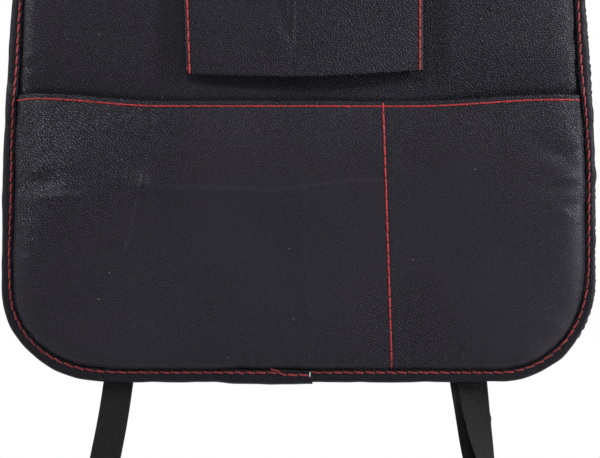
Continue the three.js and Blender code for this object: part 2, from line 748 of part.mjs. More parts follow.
function headrestPlaces() {
  const path = new THREE.Path();
  path.moveTo(-HEADREST_HALF + 24, HEADREST_FACE);
  path.lineTo(-HEADREST_HALF + 8, HEADREST_FACE);
  path.bezierCurveTo(-HEADREST_HALF - 4, HEADREST_FACE, -HEADREST_HALF, 6, -HEADREST_HALF, 20);
  path.lineTo(-HEADREST_HALF, HEADREST_REACH - HEADREST_BEND);
  path.absarc(-HEADREST_HALF + HEADREST_BEND, HEADREST_REACH - HEADREST_BEND, HEADREST_BEND,
    Math.PI, Math.PI / 2, true);
  const half = path.curves.flatMap((curve) => curve.getPoints(curve.isLineCurve ? 1 : 6).slice(0, -1));
  half.push(new THREE.Vector2(-HEADREST_HALF + HEADREST_BEND, HEADREST_REACH));
  const mirrored = half.slice().reverse().map((point) => new THREE.Vector2(-point.x, point.y));
  const points = [...half, ...mirrored];
  const across = new THREE.Vector3(0, 0, 1);
  return points.map((point, i) => {
    const before = points[Math.max(i - 1, 0)];
    const after = points[Math.min(i + 1, points.length - 1)];
    const out = new THREE.Vector3(-(after.y - before.y), after.x - before.x, 0).normalize();
    return { at: new THREE.Vector3(point.x, point.y, up(HEADREST_HEIGHT)), across, out };
  });
}

function named(name, geometry, finish) {
  const mesh = new THREE.Mesh(geometry, new THREE.MeshStandardMaterial(finish));
  mesh.name = name;
  return mesh;
}

const pocket = sheet(pocketGrid(), SKIN);
const sleeve = sheet(sleeveGrid(), SKIN);
const sleeveWithSlot = fromSolid(solid(sleeve.geometry).subtract(solid(slotCutter())));
const organizer = new THREE.Group();
organizer.name = 'seat_back_organizer';

const panel = new THREE.Group();
panel.add(named('rear_lining', layer((d) => liningBack(d), (d) => liningBack(d) - LINING), felt));
panel.add(named('foam_pad', layer(foamBack, foamFront), foam));
panel.add(named('front_panel', layer(panelBack, panelFront), faux));
panel.add(named('edge_binding', bindingStrip(), binding));
panel.add(named('edge_seam', edgeSeam(), thread));

const lowerPocket = new THREE.Group();
lowerPocket.add(named('lower_pocket', pocket.geometry, faux));
lowerPocket.add(named('pocket_hem_seam', hemSeam(pocket.front), thread));
lowerPocket.add(named('divider_seam', dividerSeam(pocket.front), thread));

const tissueSleeve = new THREE.Group();
tissueSleeve.add(named('tissue_sleeve', sleeveWithSlot, faux));
tissueSleeve.add(named('sleeve_seam_left', sleeveSeam(sleeve.front, SLEEVE_SEAM_COLUMNS.left), thread));
tissueSleeve.add(named('sleeve_seam_right', sleeveSeam(sleeve.front, SLEEVE_SEAM_COLUMNS.right), thread));

const straps = new THREE.Group();
straps.add(named('headrest_strap', webbing(headrestPlaces()), elastic));
straps.add(named('bottom_strap_left', webbing(hangingPlaces(loopPoints(), LEFT_LOOP)), elastic));
straps.add(named('bottom_strap_right', webbing(hangingPlaces(loopPoints(), RIGHT_LOOP)), elastic));
straps.add(placeHook(named('seat_hook_left', hookSolid(), plastic), LEFT_LOOP));
straps.add(placeHook(named('seat_hook_right', hookSolid(), plastic), RIGHT_LOOP));

organizer.add(panel, lowerPocket, tissueSleeve, straps);

export default organizer;
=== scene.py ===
"""Looks of a car seat back organizer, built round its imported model.

Lengths are in metres. X runs across the panel, -Y is its front and +Z is up.
"""
from math import cos, exp, hypot, log, pi, radians, sin, sqrt

import bpy
import numpy as np
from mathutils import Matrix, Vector

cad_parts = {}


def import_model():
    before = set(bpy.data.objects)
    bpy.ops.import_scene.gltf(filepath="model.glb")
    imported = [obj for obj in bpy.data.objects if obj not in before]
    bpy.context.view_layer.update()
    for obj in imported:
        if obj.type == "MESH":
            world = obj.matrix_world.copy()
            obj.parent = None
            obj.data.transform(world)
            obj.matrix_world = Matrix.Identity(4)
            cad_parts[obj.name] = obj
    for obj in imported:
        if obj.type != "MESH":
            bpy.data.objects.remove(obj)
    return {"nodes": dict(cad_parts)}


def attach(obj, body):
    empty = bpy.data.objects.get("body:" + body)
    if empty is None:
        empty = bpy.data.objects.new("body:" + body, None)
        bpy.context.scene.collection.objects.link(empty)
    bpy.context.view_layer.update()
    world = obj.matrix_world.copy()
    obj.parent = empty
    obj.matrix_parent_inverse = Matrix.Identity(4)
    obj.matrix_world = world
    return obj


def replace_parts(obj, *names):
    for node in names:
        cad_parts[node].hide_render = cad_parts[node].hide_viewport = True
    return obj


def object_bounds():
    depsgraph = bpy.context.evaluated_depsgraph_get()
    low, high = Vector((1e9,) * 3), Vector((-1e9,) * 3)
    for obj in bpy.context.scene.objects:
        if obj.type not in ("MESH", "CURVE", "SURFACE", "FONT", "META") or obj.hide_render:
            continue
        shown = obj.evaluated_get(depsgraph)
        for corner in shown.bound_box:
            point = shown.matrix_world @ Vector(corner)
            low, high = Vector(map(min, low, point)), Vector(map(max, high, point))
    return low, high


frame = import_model()
CAD_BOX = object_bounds()
MM = 0.001

# Panel outline, as half widths and heights above the bottom edge
PANEL_HEIGHT = 0.560
BOTTOM = -PANEL_HEIGHT / 2
HALF_WIDTH = 0.1997
LEFT_CORNER = (0.0698, 0.0617)
RIGHT_CORNER = (0.0644, 0.0685)
SIDE_BULGE = (0.2005, 0.170)
SIDE_TAPER = (0.188, 0.360)
SHOULDER_START = (0.160, 0.495)
SHOULDER_PULL = (0.153, 0.529)
TOP_PULL = 0.130
TOP_FLAT = 0.090
LAP_START = -0.036
LAP_RISE = 0.022
LAP_END = 0.0094

# Layers
GAP = 0.3 * MM
SKIN = 0.9 * MM
RIM_INSET = 2.5 * MM
RIM_PANEL = -7.4 * MM
PANEL_FACE = -10.4 * MM
PILLOW = 0.019
PUFF = 4.0 * MM
PUFF_EASE = 0.055
LINING = 0.7 * MM
RIM_LINING = -4.4 * MM
BINDING_BACK = -4.1 * MM
BARE_FRONT = -7.7 * MM
POCKET_FRONT = -8.9 * MM
HEM_SWELL = 1.2 * MM

# Lower pocket
HEM_HEIGHT = 0.188
HEM_RISE_LEFT = 5.1 * MM
HEM_FALL_LEFT = 1.1 * MM
HEM_RISE_RIGHT = 4.4 * MM
HEM_TURN = 10.5 * MM
HEM_LAYER = 1.2 * MM
HEM_LEAN = 3.4 * MM
HEM_LEAN_SPAN = 0.055
HEM_SEAM_DROP = 3.2 * MM
HEM_SEAM_DENT = 0.30 * MM
POCKET_DEPTH = 9.8 * MM
POCKET_EASE = 0.048
DIVIDER_TOP_X = 0.0566
DIVIDER_BOTTOM_X = 0.0628
DIVIDER_EASE = 0.060
DIVIDER_SINK = 0.40
DIVIDER_DENT = 0.45 * MM
GROOVE = 0.55 * MM

# Tissue sleeve
SLEEVE_LEFT = -74.7 * MM
SLEEVE_RIGHT = 83.2 * MM
SLEEVE_BOTTOM = 0.2066
SLEEVE_TOP = 0.336
SLEEVE_SAG = 2 * MM
SLEEVE_RISE = 2.2 * MM
SLEEVE_LEAN = 4.5 * MM
SLEEVE_STAND = 4.6 * MM
SLEEVE_CROWN = 4.0 * MM
SLEEVE_FLANGE = 9 * MM
SLEEVE_BEND = 1.2 * MM
SLEEVE_SEAM_IN = 1.9 * MM
SLEEVE_DIP = 1.6 * MM
SLEEVE_DIP_EASE = 22 * MM
SLOT_HEIGHT = 0.274
SLOT_HALF = 0.052
SLOT_RADIUS = 7 * MM
SLOT_CUT = (-0.034, -0.0135)

# Elastic webbing
WEBBING_WIDTH = 0.020
WEBBING = 1.2 * MM
SEWN_END = 9 * MM
LOOP_DROP = 0.146
LOOP_BEND = 4.6 * MM
LOOP_SPREAD_END = 0.110
FRONT_RUN = -2.3 * MM
MIDDLE_RUN = FRONT_RUN + LOOP_BEND
BACK_RUN = MIDDLE_RUN + LOOP_BEND
BACK_SEWN = -0.8 * MM
BACK_FREE = (0.002, 0.056)
LEAN_EASE = 0.045
TURN_DROP = 0.096
KINK_DROP = 0.0275
KINK_WIDTH = 2.6 * MM
LEFT_LOOP = {"x": -0.1214, "start": radians(-8), "lean": radians(-11.6), "turn": 0.0,
             "spread": 0.0, "kink": 0.0}
RIGHT_LOOP = {"x": 0.1146, "start": radians(4), "lean": radians(11), "turn": radians(90),
              "spread": 5 * MM, "kink": 0.6 * MM}

# Stitching
STITCH = 7.2 * MM
THREAD_RADIUS = 0.58 * MM
EDGE_THREAD_RADIUS = 0.62 * MM

# How far the edge seam lies inside the outline at runs from the lap, onwards and backwards, and how far
# the binding's leg reaches past it
SEAM_ONWARDS = ((0.0, 6.3), (0.17, 6.3), (0.262, 6.2), (0.283, 5.0), (0.303, 4.7), (0.323, 4.3), (0.345, 3.5),
                (0.36, 3.2), (0.39, 4.0), (0.41, 4.5), (0.424, 4.9), (0.44, 4.6), (0.46, 3.9), (0.60, 4.6))
SEAM_BACKWARDS = ((0.60, 4.6), (0.39, 4.5), (0.351, 5.2), (0.33, 4.9), (0.30, 4.9), (0.271, 5.7), (0.25, 5.8),
                  (0.22, 5.3), (0.19, 6.1), (0.13, 6.7), (0.105, 7.3), (0.08, 6.4), (0.0, 6.3))
LEG_PAST_SEAM = 1.9 * MM


def up(height):
    return BOTTOM + height


def smooth(value, low, high):
    t = np.clip((value - low) / (high - low), 0, 1)
    return t * t * (3 - 2 * t)


def lerp(a, b, t):
    return a + (b - a) * t


def fall(value, low, high):
    return 1 - smooth(value, low, high)


def unit(vectors):
    return vectors / np.linalg.norm(vectors, axis=-1, keepdims=True)


def run_lengths(points):
    """Distances along a path to each of its points."""
    return np.concatenate([[0], np.cumsum(np.linalg.norm(np.diff(points, axis=0), axis=1))])


def along_path(at, lengths, points):
    """A path's points at distances along it."""
    return np.stack([np.interp(at, lengths, column) for column in np.transpose(points)], -1)


# Outline

def cubic(points, count):
    a, b, c, d = (np.array(p, float) for p in points)
    t = np.linspace(0, 1, count, endpoint=False)[:, None]
    return (1 - t) ** 3 * a + 3 * (1 - t) ** 2 * t * b + 3 * (1 - t) * t ** 2 * c + t ** 3 * d


def quarter(centre, size, start, stop, count):
    turn = np.linspace(start, stop, count, endpoint=False)
    return np.stack([centre[0] + size[0] * np.cos(turn), centre[1] + size[1] * np.sin(turn)], 1)


def raised(*points):
    """Points whose heights are given above the bottom edge."""
    return [(x, up(height)) for x, height in points]


def mirrored(points):
    return [(-x, z) for x, z in reversed(points)]


def outline_points():
    """The outline anticlockwise as seen from the front, from the start of the lap."""
    left = -HALF_WIDTH + LEFT_CORNER[0]
    right = HALF_WIDTH - RIGHT_CORNER[0]
    side = raised((HALF_WIDTH, RIGHT_CORNER[1]), SIDE_BULGE, SIDE_TAPER, SHOULDER_START)
    shoulder = raised(SHOULDER_START, SHOULDER_PULL, (TOP_PULL, PANEL_HEIGHT), (TOP_FLAT, PANEL_HEIGHT))
    return np.vstack([
        [[LAP_START, BOTTOM]],
        quarter((right, up(RIGHT_CORNER[1])), RIGHT_CORNER, -pi / 2, 0, 200),
        cubic(side, 400),
        cubic(shoulder, 200),
        cubic(mirrored(shoulder), 200),
        cubic([*mirrored(side)[:-1], (-HALF_WIDTH, up(LEFT_CORNER[1]))], 400),
        quarter((left, up(LEFT_CORNER[1])), LEFT_CORNER, pi, 1.5 * pi, 200),
        [[left, BOTTOM], [LAP_START, BOTTOM]],
    ])


RIM_STEPS = 1800


def even_outline():
    loop = outline_points()
    lengths = run_lengths(loop)
    total = lengths[-1]
    points = along_path(np.arange(RIM_STEPS) * total / RIM_STEPS, lengths, loop)
    along = unit(np.roll(points, -1, 0) - np.roll(points, 1, 0))
    return points, np.stack([-along[:, 1], along[:, 0]], 1), total


RIM, RIM_NORMAL, RIM_LENGTH = even_outline()


def rim_at(run):
    """Points and inward normals of the outline at distances run from the lap's start."""
    place = (np.asarray(run, float) / RIM_LENGTH * RIM_STEPS) % RIM_STEPS
    low = np.floor(place).astype(int) % RIM_STEPS
    high = (low + 1) % RIM_STEPS
    share = (place - np.floor(place))[..., None]
    return lerp(RIM[low], RIM[high], share), unit(lerp(RIM_NORMAL[low], RIM_NORMAL[high], share))


def inside_rim(centre, normal, inset, y):
    """Points at depth y, moved inwards from points of the outline."""
    return np.stack([centre[:, 0] + normal[:, 0] * inset, y, centre[:, 1] + normal[:, 1] * inset], -1)


def nearest_rim(x, z):
    """How far points lie inside the outline, and the run of the nearest outline point."""
    points = np.stack([x, z], -1)
    parts = np.array_split(points.reshape(-1, 2), 1 + x.size // 4000)
    best = np.concatenate([((part[:, None] - RIM) ** 2).sum(2).argmin(1) for part in parts]).reshape(x.shape)
    return np.linalg.norm(points - RIM[best], axis=-1), best * RIM_LENGTH / RIM_STEPS


def edges_at(z, inset):
    """Left and right edge of the outline, moved in by inset, at each height z."""
    ring = RIM + RIM_NORMAL * inset
    top = ring[:, 1].argmax()
    right, left = ring[:top + 1], ring[top:]
    right = right[right[:, 1].argmin():]
    left = left[:left[:, 1].argmin() + 1][::-1]
    return np.interp(z, left[:, 1], left[:, 0]), np.interp(z, right[:, 1], right[:, 0])


def seam_inset(run):
    runs = [place for place, _ in SEAM_ONWARDS] + [RIM_LENGTH - place for place, _ in SEAM_BACKWARDS]
    insets = [inset * MM for _, inset in SEAM_ONWARDS + SEAM_BACKWARDS]
    return np.interp(np.mod(run, RIM_LENGTH), runs, insets)


def past_leg(inset, run):
    """How far points lie inside the inner edge of the binding."""
    return inset - seam_inset(run) - LEG_PAST_SEAM


# Relief shared by the sheets

def pillow(share, power=0.75):
    """A rounded shoulder that rises from 0 to 1, the steeper at its foot the lower the power."""
    return (1 - (1 - np.clip(share, 0, 1)) ** 2) ** power


def waves(x, z, seed, longest, shortest, count=18):
    """Gentle unevenness from plane waves of random direction, about -1 to 1."""
    random = np.random.default_rng(seed)
    total = np.zeros_like(x)
    for _ in range(count):
        length = exp(random.uniform(log(shortest), log(longest)))
        turn = random.uniform(0, 2 * pi)
        phase = random.uniform(0, 2 * pi)
        total += np.sin(2 * pi / length * (x * cos(turn) + z * sin(turn)) + phase)
    return total / sqrt(count)


LINE_EASE = 14 * MM


def beside_line(x, z, points):
    """Distance to a bent line through points in mm, positive on its left, and a fade towards its ends."""
    best = np.full(x.shape, np.inf)
    signed = np.zeros(x.shape)
    place = np.zeros(x.shape)
    run = 0.0
    points = np.array(points) * MM
    for start, end in zip(points, points[1:]):
        ux, uz = end - start
        length = hypot(ux, uz)
        dx, dz = x - start[0], z - up(start[1])
        share = np.clip((dx * ux + dz * uz) / length ** 2, 0, 1)
        apart = np.hypot(dx - share * ux, dz - share * uz)
        closer = apart < best
        place = np.where(closer, run + share * length, place)
        signed = np.where(closer, apart * np.sign(ux * dz - uz * dx), signed)
        best = np.minimum(apart, best)
        run += length
    ease = max(0.15 * run, min(LINE_EASE, 0.48 * run))
    return signed, smooth(place, 0, ease) * fall(place, run - ease, run)


def crease(x, z, points, width):
    """1 on a bent line through points, fading over width on both sides and at its ends."""
    signed, fade = beside_line(x, z, points)
    return np.exp(-(signed / width) ** 2) * fade


def fold_step(x, z, points, width):
    """A fold that stands up on the right of its line: steep there, and fading over its width beyond."""
    signed, fade = beside_line(x, z, points)
    return fade / (1 + np.exp(signed / (0.12 * width))) * np.exp(-np.maximum(-signed, 0) / (4 * width))


def relief(x, z, table, shape):
    """The sum of a table's creases or folds, each with its points, height and width in mm."""
    total = np.zeros_like(x)
    for points, height, width in table:
        total += height * MM * shape(x, z, points, width * MM)
    return total


def dent(x, z, centre, size, turn):
    """1 at a centre, fading out over an oval; both are given in mm."""
    dx, dz = x - centre[0] * MM, z - up(centre[1] * MM)
    u = dx * cos(turn) + dz * sin(turn)
    v = -dx * sin(turn) + dz * cos(turn)
    return np.exp(-(u / (size[0] * MM)) ** 2 - (v / (size[1] * MM)) ** 2)


RIGHT_SIDE = (0.15, 0.60)


def make_puckers(seed, count):
    """Places, widths, reaches and depths of the folds, deeper along the right side."""
    random = np.random.default_rng(seed)
    folds = []
    for _ in range(count):
        run = random.uniform(0, RIM_LENGTH)
        pull = 1.7 if RIGHT_SIDE[0] < run < RIGHT_SIDE[1] else 1.0
        folds.append((run, random.uniform(2.0, 4.5) * MM, random.uniform(6, 16) * pull * MM,
                      random.uniform(0.15, 0.55) * pull * MM))
    return folds


PUCKERS = make_puckers(5, 150)


def puckers(past, run):
    """Depth of the small folds that the seam pulls into the leather beside the binding."""
    total = np.zeros_like(past)
    for place, width, reach, depth in PUCKERS:
        apart = np.abs(run - place)
        apart = np.minimum(apart, RIM_LENGTH - apart)
        total += depth * np.exp(-(apart / width) ** 2 - (np.maximum(past, 0) / reach) ** 2)
    return total


# Faces of the layers, as depths y at points of the panel

def panel_depth(past):
    return lerp(RIM_PANEL, PANEL_FACE, pillow((past - GROOVE) / PILLOW, 0.5))


# Where the puff starts, beside the sleeve and above it, and how it is pulled in above the hem
PUFF_BESIDE = (0.088, 0.130)
PUFF_ABOVE = (up(SLEEVE_TOP + 0.012), up(SLEEVE_TOP + 0.05))
HEM_PULL = 0.036
HEM_STEP = 0.9 * MM
DIP_FADE = 0.02
PANEL_SET_BACK = 1.2 * MM
PANEL_CREASES = [
    ([(-189, 214), (-178, 220), (-166, 228)], 0.55, 4),
    ([(-189, 202), (-172, 208), (-150, 219)], 0.40, 5),
]


def panel_face(x, z):
    """The padded front: flat under the sleeve, puffed up beside it and pulled in above the hem."""
    inset, run = nearest_rim(x, z)
    past = past_leg(inset, run)
    y = panel_depth(past) + puckers(past, run) - 0.25 * MM * waves(x, z, 11, 0.16, 0.05)
    dip = fall(np.maximum(SLEEVE_LEFT - x, x - SLEEVE_RIGHT), -4 * MM, SLEEVE_DIP_EASE)
    dip *= smooth(z, up(SLEEVE_BOTTOM) - DIP_FADE, up(SLEEVE_BOTTOM))
    y += SLEEVE_DIP * dip * fall(z, up(SLEEVE_TOP), up(SLEEVE_TOP) + DIP_FADE)
    above = z - hem_z(x)
    free = smooth(np.abs(x), *PUFF_BESIDE) + smooth(z, *PUFF_ABOVE)
    puff = np.clip(free, 0, 1) * pillow(past / PUFF_EASE) * smooth(above, -2 * MM, HEM_PULL)
    y -= PUFF * puff + HEM_STEP * smooth(above, -0.5 * MM, 3.5 * MM) * smooth(past, 0, 8 * MM)
    return y - relief(x, z, PANEL_CREASES, crease) + PANEL_SET_BACK


def divider_x(z):
    return lerp(DIVIDER_BOTTOM_X, DIVIDER_TOP_X, (z - BOTTOM) / HEM_HEIGHT)


def hem_z(x):
    rise = HEM_RISE_LEFT * smooth(-x, 0.092, 0.178) - HEM_FALL_LEFT * smooth(-x, 0.176, 0.191)
    return up(HEM_HEIGHT) + rise + HEM_RISE_RIGHT * smooth(x, 0.079, 0.175)


# Folds that the packing left in the pocket's front: points, height and width in mm
LEVEL_FOLD = [(-101, 130.7), (-66, 130.8), (-12.4, 128.6), (6.4, 131.3), (36, 135.6), (57.4, 134.8),
              (84, 134.2)]
UPRIGHT_FOLD_LEFT = [(-20.5, 155), (-19.1, 131), (-17.8, 62), (-16.4, 10)]
UPRIGHT_FOLD_RIGHT = [(2.3, 157), (3, 106), (5.7, 71), (8.1, 44), (8.4, 8)]
BENT_FOLD = [(-101, 144), (-101.7, 131.5), (-106.4, 124.8), (-110.4, 111.4), (-111.7, 98), (-117.1, 87.2),
             (-124.5, 81.5)]
UPPER_BEND = [(-91.5, 182), (-92.9, 178.5), (-97.6, 169.1), (-98.3, 160)]
POCKET_FOLDS = [
    (LEVEL_FOLD, 0.55, 2.5),
    (UPRIGHT_FOLD_LEFT, 0.30, 2),
    (UPRIGHT_FOLD_RIGHT, 0.45, 2),
    (BENT_FOLD, 1.80, 4.5),
    (UPPER_BEND, 1.60, 5),
    ([(-104, 128), (-105, 100), (-106, 64)], 0.26, 1.6),
    ([(-190, 124.5), (-170, 127), (-148, 126.5), (-139, 131)], 1.70, 4),
    ([(-190, 135), (-179, 142), (-168, 146)], 1.40, 3.4),
    ([(-165, 141.5), (-154, 137), (-143, 131)], 1.10, 3),
    ([(-190, 87), (-176, 83)], 0.45, 4),
    ([(168, 137), (180, 137.5), (192, 139)], 0.80, 3.4),
    ([(172, 118), (183, 113), (192, 112)], 0.60, 3.4),
    ([(116, 180), (107, 160), (93, 139)], 0.80, 8),
]
# Dents beside them: depth, centre and size in mm, and turn
POCKET_DENTS = [
    (-1.7, (-102, 133), (4.2, 10), 0),
    (1.5, (-170, 134.5), (24, 6.5), 0.12),
    (0.9, (-186, 173), (14, 4), 0.10),
    (1.5, (178, 131), (12, 5), 0.1),
    (1.2, (172, 154), (16, 6), -0.5),
]


def pocket_relief(x, z):
    """Dents and folds of the pocket's front, as depth into it."""
    total = 0.30 * MM * waves(x, z, 23, 0.15, 0.06) + 0.10 * MM * waves(x, z, 29, 0.05, 0.02)
    for depth, centre, size, turn in POCKET_DENTS:
        total += depth * MM * dent(x, z, centre, size, turn)
    return total - relief(x, z, POCKET_FOLDS, fold_step)


def pocket_face(x, z):
    """The outer face of the pocket below its fold."""
    inset, run = nearest_rim(x, z)
    past = past_leg(inset, run)
    from_rim = pillow((past - GROOVE) / POCKET_EASE, 0.5)
    from_divider = 1 - DIVIDER_SINK * fall(np.abs(x - divider_x(z)), 0, DIVIDER_EASE)
    y = panel_depth(past) - GAP - SKIN - POCKET_DEPTH * from_rim * from_divider
    y += puckers(past, run + STITCH / 2) + pocket_relief(x, z) * smooth(past, 0, 0.010)
    y += DIVIDER_DENT * np.exp(-((x - divider_x(z)) / (1.3 * MM)) ** 2)
    lean = HEM_LEAN * np.clip(1 - (hem_z(x) - z) / HEM_LEAN_SPAN, 0, 1) ** 2 * smooth(past, 0, 0.04)
    return y + lean + HEM_SEAM_DENT * np.exp(-((hem_z(x) - HEM_SEAM_DROP - z) / (1.1 * MM)) ** 2)


# Mesh making

def add_object(name, data):
    piece = bpy.data.objects.new(name, data)
    bpy.context.scene.collection.objects.link(piece)
    return piece


def make_object(name, vertices, faces, material):
    mesh = bpy.data.meshes.new(name)
    mesh.from_pydata(np.asarray(vertices).tolist(), [], faces)
    mesh.validate()
    mesh.polygons.foreach_set("use_smooth", [True] * len(mesh.polygons))
    mesh.materials.append(material)
    turn_outward(mesh)
    piece = add_object(name, mesh)
    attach(piece, "root")
    return piece


def turn_outward(mesh):
    """Flips the faces of a closed mesh that is inside out."""
    mesh.calc_loop_triangles()
    points = np.empty(len(mesh.vertices) * 3)
    mesh.vertices.foreach_get("co", points)
    triangles = np.empty(len(mesh.loop_triangles) * 3, int)
    mesh.loop_triangles.foreach_get("vertices", triangles)
    a, b, c = points.reshape(-1, 3)[triangles.reshape(-1, 3)].transpose(1, 0, 2)
    if (a * np.cross(b, c)).sum() < 0:
        mesh.flip_normals()
    mesh.update()


def grid_faces(rows, columns, start=0, closed=False, reverse=False):
    numbers = start + np.arange(rows * columns).reshape(rows, columns)
    if closed:
        numbers = np.concatenate([numbers, numbers[:, :1]], 1)
    corners = [numbers[:-1, :-1], numbers[:-1, 1:], numbers[1:, 1:], numbers[1:, :-1]]
    faces = np.stack(corners, -1).reshape(-1, 4)
    return faces[:, ::-1] if reverse else faces


def grid_rim(rows, columns, start):
    numbers = start + np.arange(rows * columns).reshape(rows, columns)
    return np.concatenate([numbers[0], numbers[1:, -1], numbers[-1, -2::-1], numbers[-2:0:-1, 0]])


def normals_of(grid):
    return unit(np.cross(np.gradient(grid, axis=1), np.gradient(grid, axis=0)))


def thick_sheet(name, outer, inner, material):
    """A closed sheet between two grids of points with the same shape."""
    rows, columns = outer.shape[:2]
    count = rows * columns
    rim_out = grid_rim(rows, columns, 0)
    rim_in = grid_rim(rows, columns, count)
    sides = np.stack([rim_in, np.roll(rim_in, -1), np.roll(rim_out, -1), rim_out], 1)
    faces = np.concatenate([grid_faces(rows, columns), grid_faces(rows, columns, count, reverse=True), sides])
    points = np.concatenate([outer.reshape(-1, 3), inner.reshape(-1, 3)])
    return make_object(name, points, faces.tolist(), material)


def tube_faces(rows, columns, start=0):
    """The wall and the two ends of a closed tube."""
    faces = grid_faces(rows, columns, start, closed=True).tolist()
    first = [start + i for i in range(columns)]
    return faces + [first[::-1], [(rows - 1) * columns + i for i in first]]


def swept(name, sections, material):
    """A solid swept through sections, an array of (sections, points, 3)."""
    return make_object(name, sections.reshape(-1, 3), tube_faces(*sections.shape[:2]), material)


# Materials

LEATHER_SHINE = 0.095
LEATHER_TINT = (0.86, 0.83, 1.0, 1)
PEBBLE_DENSITY = 830.0
PEBBLE_STRETCH = 1.6
PEBBLE_RISE = 2.4
OVAL_RISE = 3.0
STREAK_DEPTH = 0.06 * MM
LINT_DENSITY = 24.0
LINT_SIZE = 0.42 * MM
LINT_LEFT_OUT = 0.72
LINT_COLOR = (0.10, 0.10, 0.11, 1)


def put(node, key, value):
    """Joins an output to a node's input, or sets the input to a plain value."""
    if isinstance(value, bpy.types.NodeSocket):
        node.id_data.links.new(value, node.inputs[key])
    else:
        node.inputs[key].default_value = value


def add_node(tree, kind, **values):
    """A new node with its settings and inputs."""
    node = tree.nodes.new("ShaderNode" + kind)
    for key, value in values.items():
        if key in node.inputs:
            put(node, key, value)
        else:
            setattr(node, key, value)
    return node


class Nodes:
    """A material's node tree, with short calls to add nodes."""

    def __init__(self, name, roughness, specular, sheen=0.0):
        self.material = bpy.data.materials.new(name)
        self.material.use_nodes = True
        self.shader = self.material.node_tree.nodes["Principled BSDF"]
        self.set("Roughness", roughness)
        self.set("Specular IOR Level", specular)
        self.set("Sheen Weight", sheen)
        self.place = self.add("TexCoord").outputs["Object"]

    def set(self, key, value):
        put(self.shader, key, value)

    def add(self, kind, **values):
        return add_node(self.material.node_tree, kind, **values)

    def noise(self, scale, detail=3.0, rough=0.5, place=None):
        node = self.add("TexNoise", Scale=scale, Detail=detail, Roughness=rough, Vector=place or self.place)
        return node.outputs["Fac"]

    def cells(self, feature, scale, place):
        node = self.add("TexVoronoi", voronoi_dimensions="2D", feature=feature, Scale=scale, Vector=place)
        return node.outputs

    def math(self, operation, a, b):
        node = self.add("Math", operation=operation)
        put(node, 0, a)
        put(node, 1, b)
        return node.outputs[0]

    def times(self, a, b):
        return self.math("MULTIPLY", a, b)

    def plus(self, a, b):
        return self.math("ADD", a, b)

    def rise(self, value, slope):
        """A value made steeper, up to 1."""
        return self.math("MINIMUM", self.times(value, slope), 1.0)

    def ramp(self, factor, *stops):
        node = self.add("ValToRGB", Fac=factor)
        for element, (at, color) in zip(node.color_ramp.elements, stops):
            element.position = at
            element.color = (*color, 1)
        return node.outputs["Color"]

    def bump(self, height, distance, strength=1.0, **under):
        node = self.add("Bump", Strength=strength, Distance=distance, Height=height, **under)
        return node.outputs["Normal"]

    def stretched(self, place, centre=(0, 0, 0), turn=(0, 0, 0), size=(1, 1, 1)):
        node = self.add("Mapping", vector_type="TEXTURE", Vector=place,
                        Location=centre, Rotation=turn, Scale=size)
        return node.outputs["Vector"]

    def facing(self):
        """Places in the plane of the panel, for cells in two dimensions."""
        return self.stretched(self.place, turn=(pi / 2, 0, 0))

    def grain_left(self, ovals):
        """1, and less within ovals (centre, half size, share lost) where the sheet is stretched flat."""
        left = 1.0
        for (x, height), (wide, tall), lost in ovals:
            place = self.stretched(self.place, (x, 0, up(height)), size=(wide, 1, tall))
            oval = self.add("TexGradient", gradient_type="SPHERICAL", Vector=place)
            inside = self.rise(oval.outputs["Fac"], OVAL_RISE)
            left = self.times(left, self.math("SUBTRACT", 1.0, self.times(inside, lost)))
        return left

    def lint(self, color):
        """Sparse light specks over a colour."""
        cells = self.cells("F1", LINT_DENSITY, self.facing())
        parts = self.add("SeparateColor", Color=cells["Color"])
        dots = self.math("LESS_THAN", cells["Distance"], LINT_SIZE * LINT_DENSITY)
        chosen = self.times(dots, self.math("GREATER_THAN", parts.outputs[0], LINT_LEFT_OUT))
        return self.add("MixRGB", Fac=chosen, Color1=color, Color2=LINT_COLOR).outputs["Color"]

    def shade(self, factor, dark, light, high=0.7):
        self.set("Base Color", self.ramp(factor, (0.3, dark), (high, light)))


def leather(name, dark, light, roughness, grain, ovals=()):
    """Black faux leather: slanted pebbles over fine pores, faint upright streaks and some lint, with painted
    glints: the pebble tops are painted lighter and the valleys darker.
    """
    nodes = Nodes(name, roughness, LEATHER_SHINE)
    nodes.set("Specular Tint", LEATHER_TINT)
    slanted = nodes.stretched(nodes.facing(), turn=(0, 0, -pi / 4), size=(1, PEBBLE_STRETCH, 1))
    pebbles = nodes.rise(nodes.cells("DISTANCE_TO_EDGE", PEBBLE_DENSITY, slanted)["Distance"], PEBBLE_RISE)
    left = nodes.grain_left(ovals)
    height = nodes.times(nodes.plus(pebbles, nodes.times(nodes.noise(1900.0, 2.0), 0.35)), left)
    upright = nodes.noise(520.0, 2.0, place=nodes.stretched(nodes.place, size=(1, 1, 60)))
    patches = nodes.ramp(nodes.noise(11.0, 1.0), (0.45, (0, 0, 0)), (0.65, (1, 1, 1)))
    streaks = nodes.bump(nodes.times(upright, patches), STREAK_DEPTH)
    soft = nodes.bump(nodes.noise(140.0), 0.06 * MM, 0.4, Normal=streaks)
    nodes.set("Normal", nodes.bump(height, grain, Normal=soft))
    # Painted glints and shade: the pebble tops are painted lighter and the valleys darker, weaker within the
    # flat ovals; the small noise adds a real mottle of tone.
    tone = nodes.times(nodes.math("SUBTRACT", pebbles, 0.5), left)
    mottle_and_painted_glints = nodes.plus(nodes.times(nodes.noise(14.0, 2.0), 0.10), nodes.plus(tone, 0.45))
    nodes.set("Base Color", nodes.lint(nodes.ramp(mottle_and_painted_glints, (0.22, dark), (1.0, light))))
    return nodes.material


def thread(name, dark, light):
    """Polyester sewing thread: fine fibres and slight changes of tone."""
    nodes = Nodes(name, 0.5, 0.25, sheen=0.04)
    nodes.set("Normal", nodes.bump(nodes.noise(4200.0, 2.0), 0.06 * MM, 0.6))
    nodes.shade(nodes.noise(420.0, 2.0), dark, light)
    return nodes.material


